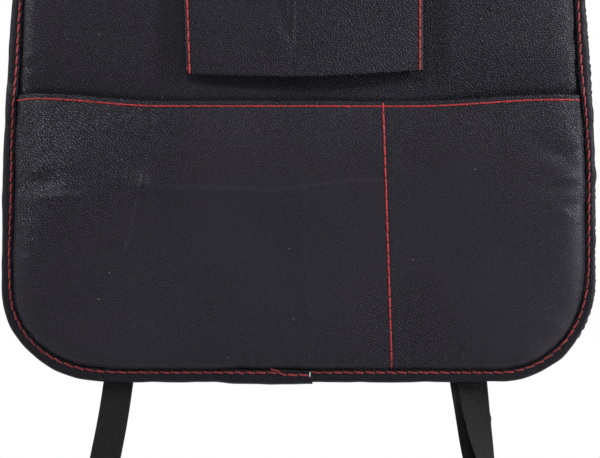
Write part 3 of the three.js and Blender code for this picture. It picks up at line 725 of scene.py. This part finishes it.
def felt(name, dark, light):
    """Non-woven felt: matt, with short matted fibres."""
    nodes = Nodes(name, 0.95, 0.08, sheen=0.25)
    height = nodes.plus(nodes.noise(1500.0, 5.0, 0.7), nodes.noise(260.0, 4.0, 0.6))
    nodes.set("Normal", nodes.bump(height, 0.35 * MM, 0.8))
    nodes.shade(nodes.noise(600.0, 4.0, 0.7), dark, light)
    return nodes.material


def webbing_material(name, dark, light):
    """Elastic webbing: the ribs are modelled, and the picks across them are fine bump."""
    nodes = Nodes(name, 0.75, 0.10, sheen=0.03)
    picks = nodes.add("TexWave", bands_direction="Z", Scale=170.0, Distortion=1.5, Detail=1.0,
                      Vector=nodes.place)
    height = nodes.plus(picks.outputs["Fac"], nodes.times(nodes.noise(2600.0, 2.0), 0.6))
    nodes.set("Normal", nodes.bump(height, 0.12 * MM, 0.7))
    nodes.shade(nodes.noise(900.0, 3.0, 0.6), dark, light)
    return nodes.material


def plastic(name, dark, light):
    """Moulded plastic with a fine spark-eroded texture."""
    nodes = Nodes(name, 0.42, 0.4)
    nodes.set("Normal", nodes.bump(nodes.noise(1800.0), 0.05 * MM, 0.4))
    nodes.shade(nodes.noise(60.0, 2.0), dark, light, 0.8)
    return nodes.material


PANEL_FLAT = [((-0.11, 0.30), (0.16, 0.15), 0.45)]
POCKET_FLAT = [((-0.01, 0.040), (0.23, 0.150), 0.45), ((0.010, 0.150), (0.13, 0.11), 0.40),
               ((-0.090, 0.040), (0.160, 0.100), 0.35), ((0.150, 0.090), (0.080, 0.110), 0.45)]
PANEL_LEATHER = leather("panel_leather", (0.001, 0.001, 0.0013), (0.035, 0.0327, 0.0415), 0.34, 0.20 * MM,
                        PANEL_FLAT)
POCKET_LEATHER = leather("pocket_leather", (0.0006, 0.0006, 0.0008), (0.037, 0.0345, 0.044), 0.34,
                         0.24 * MM, POCKET_FLAT)
BINDING_LEATHER = leather("binding_leather", (0.0025, 0.0025, 0.0032), (0.014, 0.014, 0.016), 0.40, 0.14 * MM)
RED_THREAD = thread("red_thread", (0.13, 0.006, 0.008), (0.32, 0.014, 0.018))
# The edge seam's thread is the red thread again, painted darker for the shade of the groove that it is sunk
# in.
SHADED_EDGE_THREAD = thread("edge_thread_painted_shade", (0.07, 0.005, 0.007), (0.22, 0.018, 0.024))
WHITE_THREAD = thread("white_thread", (0.45, 0.44, 0.42), (0.75, 0.74, 0.72))
LINING_FELT = felt("lining_felt", (0.008, 0.008, 0.009), (0.030, 0.030, 0.031))
STRAP_WEBBING = webbing_material("strap_webbing", (0.003, 0.003, 0.0034), (0.009, 0.009, 0.0098))
HOOK_PLASTIC = plastic("hook_plastic", (0.010, 0.010, 0.011), (0.014, 0.014, 0.0154))


# Panel and lining

# Columns of the meshes are laid out over a typical width
FINE_SPAN = 0.030
TYPICAL_WIDTH = 0.4
CORNER_HEIGHT = 0.062
# Where the padding thins out towards the rim
PAD_START = (9 * MM, 26 * MM)


def corner_rows(low, high, turn):
    """Heights that crowd towards low, so that a rounded corner is followed closely."""
    angle = np.linspace(0, pi / 2, turn)[:-1]
    return low + (high - low) * (1 - np.cos(angle))


def panel_rows(middle):
    ends = corner_rows(up(RIM_INSET), up(CORNER_HEIGHT), 26)
    rows = np.arange(up(CORNER_HEIGHT), up(PANEL_HEIGHT - CORNER_HEIGHT), middle)
    return np.concatenate([ends, rows, -ends[::-1]])


def across_panel(rows, fine, coarse):
    """Points x and z in rows across the panel, fine at its two edges and coarse between."""
    left, right = edges_at(rows, RIM_INSET)
    near = np.arange(0, FINE_SPAN, fine)
    middle = np.linspace(FINE_SPAN, TYPICAL_WIDTH - FINE_SPAN, int((TYPICAL_WIDTH - 2 * FINE_SPAN) / coarse))
    shares = np.concatenate([near, middle, TYPICAL_WIDTH - near[::-1]]) / TYPICAL_WIDTH
    x = lerp(left[:, None], right[:, None], shares)
    return x, np.repeat(rows[:, None], x.shape[1], 1)


def flat_sheet(name, x, z, outer, inner, material):
    return thick_sheet(name, np.stack([x, outer, z], -1), np.stack([x, inner, z], -1), material)


def padded_panel():
    x, z = across_panel(panel_rows(2.3 * MM), 1.5 * MM, 3.4 * MM)
    inset, _ = nearest_rim(x, z)
    back = lerp(RIM_LINING - LINING - GAP, -1.0 * MM, smooth(inset, *PAD_START))
    piece = flat_sheet("padded_panel", x, z, panel_face(x, z), back, PANEL_LEATHER)
    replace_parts(piece, "front_panel", "foam_pad")


def rear_cover():
    x, z = across_panel(panel_rows(3.0 * MM), 2.0 * MM, 4.0 * MM)
    inset, run = nearest_rim(x, z)
    back = lerp(RIM_LINING, 0, smooth(inset, *PAD_START))
    back += (-0.25 * MM + 0.12 * MM * waves(x, z, 41, 0.12, 0.03)) * smooth(inset, 12 * MM, PAD_START[1])
    back -= 0.5 * puckers(past_leg(inset, run), run)
    inner = lerp(RIM_LINING - LINING, -0.9 * MM, smooth(inset, *PAD_START))
    inner = np.minimum(inner, back - 0.3 * MM)
    piece = flat_sheet("rear_felt_lining", x, z, inner, back, LINING_FELT)
    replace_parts(piece, "rear_lining")


# Lower pocket

def pocket_mesh():
    hem_low = HEM_TURN + 3 * MM
    body = np.arange(CORNER_HEIGHT, HEM_HEIGHT - hem_low, 1.35 * MM)
    body = np.concatenate([corner_rows(RIM_INSET, CORNER_HEIGHT, 30), body])
    drops = np.linspace(hem_low, HEM_LAYER / 2, 12)
    x, z = across_panel(np.concatenate([up(body), up(HEM_HEIGHT - drops)]), 1.1 * MM, 1.4 * MM)
    z[len(body):] = hem_z(x[len(body):]) - drops[:, None]
    y = pocket_face(x, z)
    outer = np.stack([x, y, z], -1)
    normal = normals_of(outer)
    inner = outer - SKIN * np.where(normal[..., 1:2] > 0, -normal, normal)
    fold_out, fold_in = hem_fold(x[-1], y[-1] + SKIN / 2)
    return np.concatenate([outer, fold_out]), np.concatenate([inner, fold_in])


def hem_fold(x, y):
    """The pocket's top edge, round the fold and down the turned hem, as outer and inner face."""
    radius = HEM_LAYER / 2
    faces = []
    for reach in (radius + SKIN / 2, radius - SKIN / 2):
        rows = [(-reach * cos(turn), reach * sin(turn)) for turn in np.linspace(0, pi, 9)[1:]]
        rows += [(reach, -drop) for drop in np.linspace(0, HEM_TURN - radius, 5)[1:]]
        faces.append(np.array([np.stack([x, y + radius + back, hem_z(x) - radius + rise], -1)
                               for back, rise in rows]))
    return faces


def lower_pocket():
    outer, inner = pocket_mesh()
    piece = thick_sheet("lower_pocket_sheet", outer, inner, POCKET_LEATHER)
    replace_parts(piece, "lower_pocket")


# Tissue sleeve

def sleeve_section(share, count):
    """The sleeve across: flange, gusset, crowned front, gusset and flange, as x and y."""
    left = SLEEVE_LEFT - SLEEVE_LEAN * share
    right = SLEEVE_RIGHT
    foot = PANEL_FACE - GAP - SKIN / 2
    edge = foot - SLEEVE_STAND
    bend = SLEEVE_BEND
    turn = np.linspace(0, pi / 2, 5)
    part = np.linspace(0, 1, count)
    side_x = np.concatenate([[left + SLEEVE_FLANGE], left + bend - bend * np.sin(turn), np.full(2, left),
                             left + bend - bend * np.cos(turn[:-1])])
    side_y = np.concatenate([[foot], foot - bend + bend * np.cos(turn),
                             np.linspace(foot - bend, edge + bend, 4)[1:-1],
                             edge + bend - bend * np.sin(turn[:-1])])
    front_y = edge - SLEEVE_CROWN * np.sin(pi * part) ** 0.7
    x = np.concatenate([side_x, lerp(left + bend, right - bend, part), left + right - side_x[::-1]])
    return x, np.concatenate([side_y, front_y, side_y[::-1]])


def sleeve_grid():
    grid = []
    for share in np.linspace(0, 1, 112):
        x, y = sleeve_section(share, 140)
        across = 2 * (x - SLEEVE_LEFT) / (SLEEVE_RIGHT - SLEEVE_LEFT) - 1
        z = up(lerp(SLEEVE_BOTTOM, SLEEVE_TOP, share)) - SLEEVE_SAG * (1 - share) * (1 - across ** 2)
        z = z + SLEEVE_RISE * (1 - share) * smooth(x, 0, SLEEVE_RIGHT)
        front = y < PANEL_FACE - GAP - SLEEVE_STAND - 0.5 * MM
        grid.append(np.stack([x, y + np.where(front, sleeve_relief(x, z), 0), z], -1))
    return np.array(grid)


# Folds of the sleeve's front, which meet below the slot: points, depth and width in mm
SLEEVE_FOLDS = [
    ([(-5, 268), (-4.6, 245), (-4, 216)], 1.6, 2.9),
    ([(-15, 262), (-11, 243), (-5, 224)], 1.1, 3.4),
    ([(17, 262), (9, 243), (0, 222)], 0.6, 2.6),
    ([(28, 262), (16, 243), (6, 229)], 0.4, 2.8),
]


def sleeve_relief(x, z):
    return 0.25 * MM * waves(x, z, 53, 0.09, 0.03) + relief(x, z, SLEEVE_FOLDS, crease)


def slot_cutter():
    middle = (SLEEVE_LEFT + SLEEVE_RIGHT) / 2
    points = []
    for centre, start in ((SLOT_HALF, -pi / 2), (-SLOT_HALF, pi / 2)):
        for turn in np.linspace(start, start + pi, 17):
            points.append((middle + centre + SLOT_RADIUS * cos(turn),
                           up(SLOT_HEIGHT) + SLOT_RADIUS * sin(turn)))
    return np.array([[(x, y, z) for x, z in points] for y in SLOT_CUT])


def cut_slot(piece):
    cutter = swept("slot_cutter", slot_cutter(), PANEL_LEATHER)
    modifier = piece.modifiers.new("slot", "BOOLEAN")
    modifier.operation = "DIFFERENCE"
    modifier.object = cutter
    modifier.solver = "EXACT"
    bpy.context.view_layer.update()
    cut = bpy.data.meshes.new_from_object(piece.evaluated_get(bpy.context.evaluated_depsgraph_get()))
    piece.modifiers.clear()
    piece.data = cut
    bpy.data.objects.remove(cutter)


def tissue_sleeve():
    """Makes the sleeve, and gives back its outer face for the seams."""
    grid = sleeve_grid()
    half = normals_of(grid) * SKIN / 2
    piece = thick_sheet("tissue_sleeve_sheet", grid + half, grid - half, PANEL_LEATHER)
    cut_slot(piece)
    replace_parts(piece, "tissue_sleeve")
    return grid + half


# Edge binding

LAP_RUN = LAP_END - LAP_START
LAP_LIFT = SKIN + GAP
FOLD = 2.6 * MM
LEG_SHARES = [0.0, 0.08, 0.16, 0.24, 0.32, 0.40, 0.48, 0.58, 0.70, 0.84, 0.94]
RIGHT_SIDE_START = (0.20, 0.25)
RIGHT_SIDE_STOP = (0.52, 0.60)
SIDES_FROM = (0.12, 0.15)
FELT_IN = 0.9 * MM


def on_right_side(runs):
    return smooth(runs, *RIGHT_SIDE_START) * fall(runs, *RIGHT_SIDE_STOP)


def uneven(runs, seed, longest, shortest):
    """Gentle unevenness along the edge, about -1 to 1."""
    return waves(runs, runs * 0, seed, longest, shortest)


def binding_front(z):
    """Depth of the inside of the binding's front leg: it swells over the ends of the hem."""
    low = POCKET_FRONT - HEM_SWELL * smooth(z, up(0.172), up(0.179))
    return lerp(low, BARE_FRONT, smooth(z, up(0.193), up(0.202)))


def lap_lift(run):
    """How far the strip is lifted off its own start."""
    return LAP_LIFT * smooth(run - RIM_LENGTH, -LAP_RISE, -3 * MM)


def swell(x, z):
    """How far the strip's fold bulges out of the outline, at the sides and the bottom."""
    height = z - BOTTOM
    low = smooth(height, 0.10, 0.14)
    left = 0.7 * low + 0.6 * smooth(height, 0.222, 0.254)
    right = low + 0.6 * np.exp(-((height - 0.211) / 0.012) ** 2)
    sides = left * smooth(-x, *SIDES_FROM) + right * smooth(x, *SIDES_FROM)
    bottom = 0.5 * fall(height, 0.005, 0.03) * fall(np.abs(x), 0.11, 0.14)
    return (sides * fall(height, 0.27, 0.34) + bottom) * MM


def leg_relief(beside, runs, share):
    """Into the binding's leg: the groove of the seam, needle holes, and a rolled inner edge."""
    groove = np.exp(-(beside / (0.9 * MM)) ** 2)
    holes = 0.5 + 0.5 * np.cos(2 * pi * runs / STITCH)
    return (0.18 + 0.22 * holes) * MM * groove + 0.3 * MM * fall(share, 0.0, 0.12)


def binding_strip():
    """The folded strip: outside from leg to leg round the fold, then back inside, as insets and depths."""
    runs = np.append(np.arange(0, RIM_LENGTH + LAP_RUN, 1.3 * MM), RIM_LENGTH + LAP_RUN)
    centre, normal = rim_at(runs)
    lift = lap_lift(runs)
    wobble = (0.22 + 0.45 * on_right_side(runs)) * MM * uneven(runs, 61, 0.06, 0.014) - swell(*centre.T)
    seam = seam_inset(runs)
    edge = seam + LEG_PAST_SEAM + 0.22 * MM * uneven(runs, 67, 0.05, 0.012)
    front = binding_front(centre[:, 1]) - lift
    back = BINDING_BACK + lift
    half = (back - front) / 2
    middle = (back + front) / 2
    turns = np.linspace(pi / 2, -pi / 2, 13)
    profile = []
    for share in LEG_SHARES:
        inset = lerp(edge, FOLD, share)
        profile.append((inset, front - SKIN + leg_relief(inset - seam, runs, share)))
    for turn in turns:
        profile.append((FOLD + (wobble - FOLD) * cos(turn), middle - (half + SKIN) * sin(turn)))
    for share in LEG_SHARES[::-1]:
        inset = lerp(edge, FOLD, share)
        profile.append((inset, back + SKIN - leg_relief(inset - seam, runs, share)))
    profile.append((edge, back))
    for turn in turns[::-2]:
        profile.append((FOLD + (SKIN - FOLD) * cos(turn), middle - half * sin(turn)))
    profile.append((edge, front))
    sections = []
    for inset, y in profile:
        lifted = lift * (1 - np.clip((inset - FOLD) / (edge - FOLD), 0, 1))
        sections.append(inside_rim(centre, normal, inset - lifted, y))
    piece = swept("edge_binding_strip", np.stack(sections, 1), BINDING_LEATHER)
    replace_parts(piece, "edge_binding")


def felt_edge():
    """The lining's matted edge, which peeks out of the binding along the right side."""
    runs = np.arange(RIGHT_SIDE_START[0], RIGHT_SIDE_STOP[1], 0.7 * MM)
    centre, normal = rim_at(runs)
    frayed = 0.40 * uneven(runs, 83, 0.010, 0.0022) + 0.30 * uneven(runs, 84, 0.04, 0.014)
    reach = on_right_side(runs) * (0.35 + 0.6 * frayed) * MM + swell(*centre.T)
    thick = (0.55 + 0.12 * uneven(runs, 85, 0.008, 0.002)) * MM
    sections = []
    for turn in np.linspace(0, 2 * pi, 12, endpoint=False):
        inset = FELT_IN - (FELT_IN + reach) * (0.5 + 0.5 * cos(turn))
        sections.append(inside_rim(centre, normal, inset, BINDING_BACK - FELT_IN + thick * sin(turn)))
    swept("felt_edge", np.stack(sections, 1), LINING_FELT)


# Stitches

FRONT = np.array([0.0, -1.0, 0.0])
SEAM_START = 0.0086 - LAP_START
SEAM_DIP_RUN = RIM_LENGTH - 0.0105 - LAP_START
SEAM_END = RIM_LENGTH + 0.0072 - LAP_START
SEAM_DIP = 1.6 * MM
SEAM_SINK = 0.12 * MM
STITCH_RISE = 0.30 * MM
STITCH_SIDES = 10
STITCH_RINGS = 14
PLY_TURN = 1.9 * MM
# The loose end of the thread at the sleeve's left corner: its start from the corner, and its run
LOOSE_START = np.array([0.2, 0, 3.2]) * MM
LOOSE_RUN = np.array([-2.6, 0.4, 0.5]) * MM


def stitch_tube(start, end, out, rise, radius, dive=2.2):
    """One stitch: a two-ply thread that dives into a needle hole at both ends."""
    length = np.linalg.norm(end - start)
    along = (end - start) / length
    side = unit(np.cross(along, out))
    out = np.cross(side, along)
    turns = np.linspace(0, 2 * pi, STITCH_SIDES, endpoint=False)
    rings = []
    for share in np.linspace(0, 1, STITCH_RINGS):
        arch = 1 - abs(2 * share - 1) ** 5
        centre = start + along * length * share + out * (rise * arch - radius * (1 - arch) * dive)
        twist = 2 * pi * length * share / PLY_TURN
        reach = radius * (1 + 0.2 * np.cos(2 * (turns - twist))) * (0.75 + 0.25 * arch)
        rings.append(centre + np.outer(reach * np.cos(turns), side) + np.outer(reach * np.sin(turns), out))
    return np.array(rings)


def thread_mesh(name, tubes, material):
    """Many closed tubes as one piece."""
    faces = []
    for i, tube in enumerate(tubes):
        faces += tube_faces(STITCH_RINGS, STITCH_SIDES, i * STITCH_RINGS * STITCH_SIDES)
    return make_object(name, np.concatenate(tubes).reshape(-1, 3), faces, material)


def stitch_line(points, out, seed, radius=THREAD_RADIUS, slant=0.0, dive=0.7):
    """Stitches of even pitch along a line of surface points that face out."""
    lengths = run_lengths(points)
    count = max(int(round(lengths[-1] / STITCH)), 1)
    pitch = lengths[-1] / count
    random = np.random.default_rng(seed)
    tubes = []
    for i in range(count):
        start = along_path((i + random.uniform(-0.03, 0.03)) * pitch, lengths, points)
        end = along_path((i + 1 + random.uniform(-0.03, 0.03)) * pitch, lengths, points)
        lean = unit(np.cross(end - start, out)) * (slant + random.uniform(-0.12, 0.12) * MM)
        rise = STITCH_RISE * random.uniform(0.85, 1.15)
        thick = radius * random.uniform(0.92, 1.06)
        tubes.append(stitch_tube(start - lean, end + lean, out, rise, thick, dive))
    return tubes


def edge_line(side):
    """The edge seam's line on the front (-1) or back (1) of the binding."""
    runs = np.arange(SEAM_START, SEAM_END, 1.0 * MM)
    centre, normal = rim_at(runs)
    inset = seam_inset(runs) - SEAM_DIP * smooth(runs, SEAM_DIP_RUN - 3 * MM, SEAM_DIP_RUN + 1 * MM)
    lift = LAP_LIFT * fall(runs, LAP_RUN, LAP_RUN + 1 * MM) + lap_lift(runs)
    face = binding_front(centre[:, 1]) if side < 0 else BINDING_BACK
    return inside_rim(centre, normal, inset, face + side * (SKIN + lift - SEAM_SINK))


def lap_line(from_x, from_height, to_x, to_height):
    """Two points on the lap's front."""
    y = POCKET_FRONT - SKIN - LAP_LIFT
    return np.array([from_x, y, up(from_height)]), np.array([to_x, y, up(to_height)])


def edge_stitching():
    tubes = []
    for side, seed in ((-1, 71), (1, 72)):
        tubes += stitch_line(edge_line(side), -side * FRONT, seed, EDGE_THREAD_RADIUS, 0.42 * MM, 1.5)
    tubes.append(stitch_tube(*lap_line(-0.0191, 0.0088, -0.0125, 0.0071), FRONT, 0.3 * MM, THREAD_RADIUS))
    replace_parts(thread_mesh("edge_stitching", tubes, SHADED_EDGE_THREAD), "edge_seam")


def lap_tack():
    """The white stitch that holds the end of the lap."""
    tube = stitch_tube(*lap_line(0.0075, 0.0032, 0.0077, 0.0068), FRONT, 0.2 * MM, 0.26 * MM)
    thread_mesh("lap_tack", [tube], WHITE_THREAD)


def pocket_seam(name, x, z, seed):
    return thread_mesh(name, stitch_line(np.stack([x, pocket_face(x, z), z], -1), FRONT, seed), RED_THREAD)


def hem_stitching():
    left, right = edges_at(np.array([up(HEM_HEIGHT)]), 6.6 * MM)
    x = np.arange(left[0], right[0], 1.0 * MM)
    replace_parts(pocket_seam("hem_stitching", x, hem_z(x) - HEM_SEAM_DROP, 73), "pocket_hem_seam")


def divider_stitching():
    z = np.arange(up(0.0085), up(HEM_HEIGHT - 0.4 * MM), 1.0 * MM)
    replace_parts(pocket_seam("divider_stitching", divider_x(z), z, 74), "divider_seam")


def sleeve_line(outer, place, lean):
    """The line of a side seam on the sleeve's front, from the bottom up."""
    points = []
    for row, share in zip(outer, np.linspace(0, 1, len(outer))):
        front = row[row[:, 1] < PANEL_FACE - 4 * MM]
        front = front[np.argsort(front[:, 0])]
        points.append(along_path(place - lean * share, front[:, 0], front))
    return np.array(points)


def sleeve_stitching(outer):
    line = sleeve_line(outer, SLEEVE_LEFT + SLEEVE_SEAM_IN, SLEEVE_LEAN)
    tubes = stitch_line(line, FRONT, 75)
    end = line[0] + LOOSE_START
    tubes.append(stitch_tube(end, end + LOOSE_RUN, FRONT, 0.3 * MM, 0.4 * MM))
    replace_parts(thread_mesh("sleeve_stitching_left", tubes, RED_THREAD), "sleeve_seam_left")
    tubes = stitch_line(sleeve_line(outer, SLEEVE_RIGHT - SLEEVE_SEAM_IN, 0.0), FRONT, 76)
    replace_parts(thread_mesh("sleeve_stitching_right", tubes, RED_THREAD), "sleeve_seam_right")


# Webbing

RIBS = 14
RIB_DEPTH = 0.34 * MM
SELVEDGE = 0.5 * MM
BAND_STEP = 1.2 * MM


def webbing_section():
    """The band's section: rounded selvedges and lengthwise ribs, as (across, out) pairs."""
    half = WEBBING_WIDTH / 2 - SELVEDGE
    valley = WEBBING / 2 - RIB_DEPTH
    across = np.linspace(-half, half, RIBS * 4 + 1)
    ripple = RIB_DEPTH * (0.5 - 0.5 * np.cos(pi * RIBS * (across / half + 1)))
    turn = np.linspace(pi / 2, -pi / 2, 7)[1:-1]
    face = np.stack([across, valley + ripple], 1)
    side = np.stack([half + SELVEDGE * np.cos(turn), valley * np.sin(turn)], 1)
    return np.concatenate([face, side, -face, -side])


def band(name, centres, acrosses, outs, node):
    across, out = webbing_section().T[:, None, :, None]
    rings = centres[:, None] + acrosses[:, None] * across + outs[:, None] * out
    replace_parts(swept(name, rings, STRAP_WEBBING), node)


def even_path(points, step):
    """The path at even steps, measured by the first two values of its points."""
    points = np.asarray(points, float)
    lengths = run_lengths(points[:, :2])
    return along_path(np.linspace(0, lengths[-1], int(lengths[-1] / step)), lengths, points)


def loop_path():
    """The loop in its own plane, as depth, drop and run (1 in front, -1 behind)."""
    bend = LOOP_DROP - LOOP_BEND
    points = [(FRONT_RUN, -SEWN_END, 1.0), (FRONT_RUN, bend, 1.0)]
    for turn in np.linspace(0, pi, 13)[1:]:
        depth = MIDDLE_RUN - LOOP_BEND * cos(turn)
        points.append((depth, bend + LOOP_BEND * sin(turn), 1 - 2 * turn / pi))
    for drop in np.linspace(bend, 2 * MM, 50)[1:]:
        points.append((lerp(BACK_SEWN, BACK_RUN, smooth(drop, *BACK_FREE)), drop, -1.0))
    points.append((BACK_SEWN, -SEWN_END, -1.0))
    return even_path(points, BAND_STEP)


def hanging_frame(loop, drops):
    """The middle of a loop at drops below the edge, with its directions down, back and across."""
    fine = np.linspace(-SEWN_END, LOOP_DROP, 320)
    angle = lerp(loop["start"], loop["lean"], smooth(fine, 0, LEAN_EASE))
    fine_down = np.stack([np.sin(angle), 0 * angle, -np.cos(angle)], 1)
    steps = (fine_down[1:] + fine_down[:-1]) / 2 * np.diff(fine)[:, None]
    line = np.vstack([np.zeros(3), np.cumsum(steps, 0)])
    top = np.array([loop["x"], MIDDLE_RUN, BOTTOM])
    middle = along_path(drops, fine, line) - along_path(0.0, fine, line) + top
    down = unit(along_path(drops, fine, fine_down))
    turn = -loop["turn"] * np.clip(drops / TURN_DROP, 0, 1)
    level = np.array([0, 1.0, 0])
    back = np.cos(turn)[:, None] * level + np.sin(turn)[:, None] * np.cross(down, level)
    return middle, down, back, np.cross(down, back)


def hanging_band(name, loop, node):
    path = loop_path()
    depth, drop, run = path.T
    along = unit(np.gradient(path[:, :2], axis=0))
    middle, down, back, across = hanging_frame(loop, drop)
    outs = back * along[:, 1:] - down * along[:, :1]
    sideways = run * loop["spread"] / 2 * (1 - np.clip(drop / LOOP_SPREAD_END, 0, 1))
    sideways += loop["kink"] * (run > 0.5) * np.exp(-((drop - KINK_DROP) / KINK_WIDTH) ** 2)
    centres = middle + back * (depth - MIDDLE_RUN)[:, None] + across * sideways[:, None]
    band(name, centres, across, outs, node)


HEADREST_HALF = 0.092
HEADREST_REACH = 0.088
HEADREST_BEND = 0.030
HEADREST_FACE = -2.3 * MM


def headrest_band():
    left, face = -HEADREST_HALF, HEADREST_FACE
    start = cubic([(left + 8 * MM, face), (left - 4 * MM, face), (left, 6 * MM), (left, 20 * MM)], 24)
    bend = quarter((left + HEADREST_BEND, HEADREST_REACH - HEADREST_BEND), (HEADREST_BEND, HEADREST_BEND),
                   pi, pi / 2, 30)
    half = np.vstack([[[left + 24 * MM, face]], start, bend, [[0, HEADREST_REACH]]])
    path = even_path(np.vstack([half, half[-2::-1] * [-1, 1]]), BAND_STEP)
    along = unit(np.gradient(path, axis=0))
    level = np.zeros(len(path))
    centres = np.stack([path[:, 0], path[:, 1], level + up(PANEL_HEIGHT - 1 * MM)], 1)
    outs = np.stack([-along[:, 1], along[:, 0], level], 1)
    band("headrest_webbing", centres, np.stack([level, level, level + 1], 1), outs, "headrest_strap")


def dress_cad_nodes():
    """The hooks keep their solids, with softened edges."""
    for name in ("seat_hook_left", "seat_hook_right"):
        hook = frame["nodes"][name]
        hook.data.materials.clear()
        hook.data.materials.append(HOOK_PLASTIC)
        bevel = hook.modifiers.new("soft edges", "BEVEL")
        bevel.width = 0.45 * MM
        bevel.segments = 3
        bevel.limit_method = "ANGLE"
        bevel.angle_limit = radians(35)
        hook.data.polygons.foreach_set("use_smooth", [True] * len(hook.data.polygons))


# Floor, lights and camera

FRAME_WIDTH = 0.4027
FRAME_CENTRE = (1.0 * MM, up(0.1027))
CAMERA_DISTANCE = 1.7
SENSOR = 36.0
FLOOR_RADIUS = 1.15
FLOOR_GAP = 0.004
AIM = Vector((0, 0, up(0.15)))
# Name, place, size and power
LAMPS = [
    ("right", (1.05, -0.38, 0.28), (0.20, 0.50), 22),
    ("low right", (1.05, -0.36, -0.35), (0.20, 0.50), 3),
    ("left", (-1.10, -0.38, 0.55), (0.20, 0.60), 20),
    ("top", (-0.10, -1.05, 0.80), (0.45, 0.22), 7),
    ("back", (0.3, 1.4, 0.6), (1.2, 1.0), 8),
]


def camera():
    data = bpy.data.cameras.new("camera")
    data.sensor_width = SENSOR
    data.lens = SENSOR * CAMERA_DISTANCE / FRAME_WIDTH
    data.clip_end = 20
    piece = add_object("camera", data)
    piece.location = (FRAME_CENTRE[0], PANEL_FACE - CAMERA_DISTANCE, FRAME_CENTRE[1])
    piece.rotation_euler = (pi / 2, 0, 0)
    bpy.context.scene.camera = piece


def lamps():
    for name, place, size, power in LAMPS:
        data = bpy.data.lights.new(name, "AREA")
        data.shape = "RECTANGLE"
        data.size, data.size_y = size
        data.energy = power
        light = add_object(name, data)
        light.location = place
        light.rotation_euler = (AIM - Vector(place)).to_track_quat("-Z", "Y").to_euler()


def floor():
    turn = np.linspace(0, 2 * pi, 96, endpoint=False)
    low = CAD_BOX[0][2] - FLOOR_GAP
    points = [(FLOOR_RADIUS * cos(t), FLOOR_RADIUS * sin(t), low) for t in turn]
    mesh = bpy.data.meshes.new("floor")
    mesh.from_pydata(points, [], [list(range(len(points)))])
    nodes = Nodes("floor", 0.9, 0.1)
    nodes.shade(nodes.noise(3.0, 2.0), (0.83, 0.83, 0.83), (0.86, 0.86, 0.86))
    mesh.materials.append(nodes.material)
    add_object("floor", mesh)


def world():
    """White where the camera, a reflection or a see-through surface looks, and plain light otherwise."""
    surroundings = bpy.data.worlds.new("studio")
    surroundings.use_nodes = True
    tree = surroundings.node_tree
    plain = tree.nodes["Background"]
    put(plain, "Color", (0.95, 0.97, 1.0, 1))
    put(plain, "Strength", 0.10)
    white = add_node(tree, "Background", Color=(1, 1, 1, 1), Strength=1.0)
    rays = add_node(tree, "LightPath").outputs
    seen = rays["Is Camera Ray"]
    for ray in ("Is Glossy Ray", "Is Transmission Ray"):
        either = add_node(tree, "Math", operation="ADD", use_clamp=True)
        put(either, 0, seen)
        put(either, 1, rays[ray])
        seen = either.outputs[0]
    mix = add_node(tree, "MixShader", Fac=seen)
    put(mix, 1, plain.outputs[0])
    put(mix, 2, white.outputs[0])
    put(tree.nodes["World Output"], "Surface", mix.outputs[0])
    bpy.context.scene.world = surroundings


padded_panel()
rear_cover()
lower_pocket()
sleeve_outer = tissue_sleeve()
binding_strip()
felt_edge()
edge_stitching()
lap_tack()
hem_stitching()
divider_stitching()
sleeve_stitching(sleeve_outer)
hanging_band("webbing_loop_left", LEFT_LOOP, "bottom_strap_left")
hanging_band("webbing_loop_right", RIGHT_LOOP, "bottom_strap_right")
headrest_band()
dress_cad_nodes()
floor()
world()
lamps()
camera()
bpy.context.scene.view_settings.view_transform = "Standard"
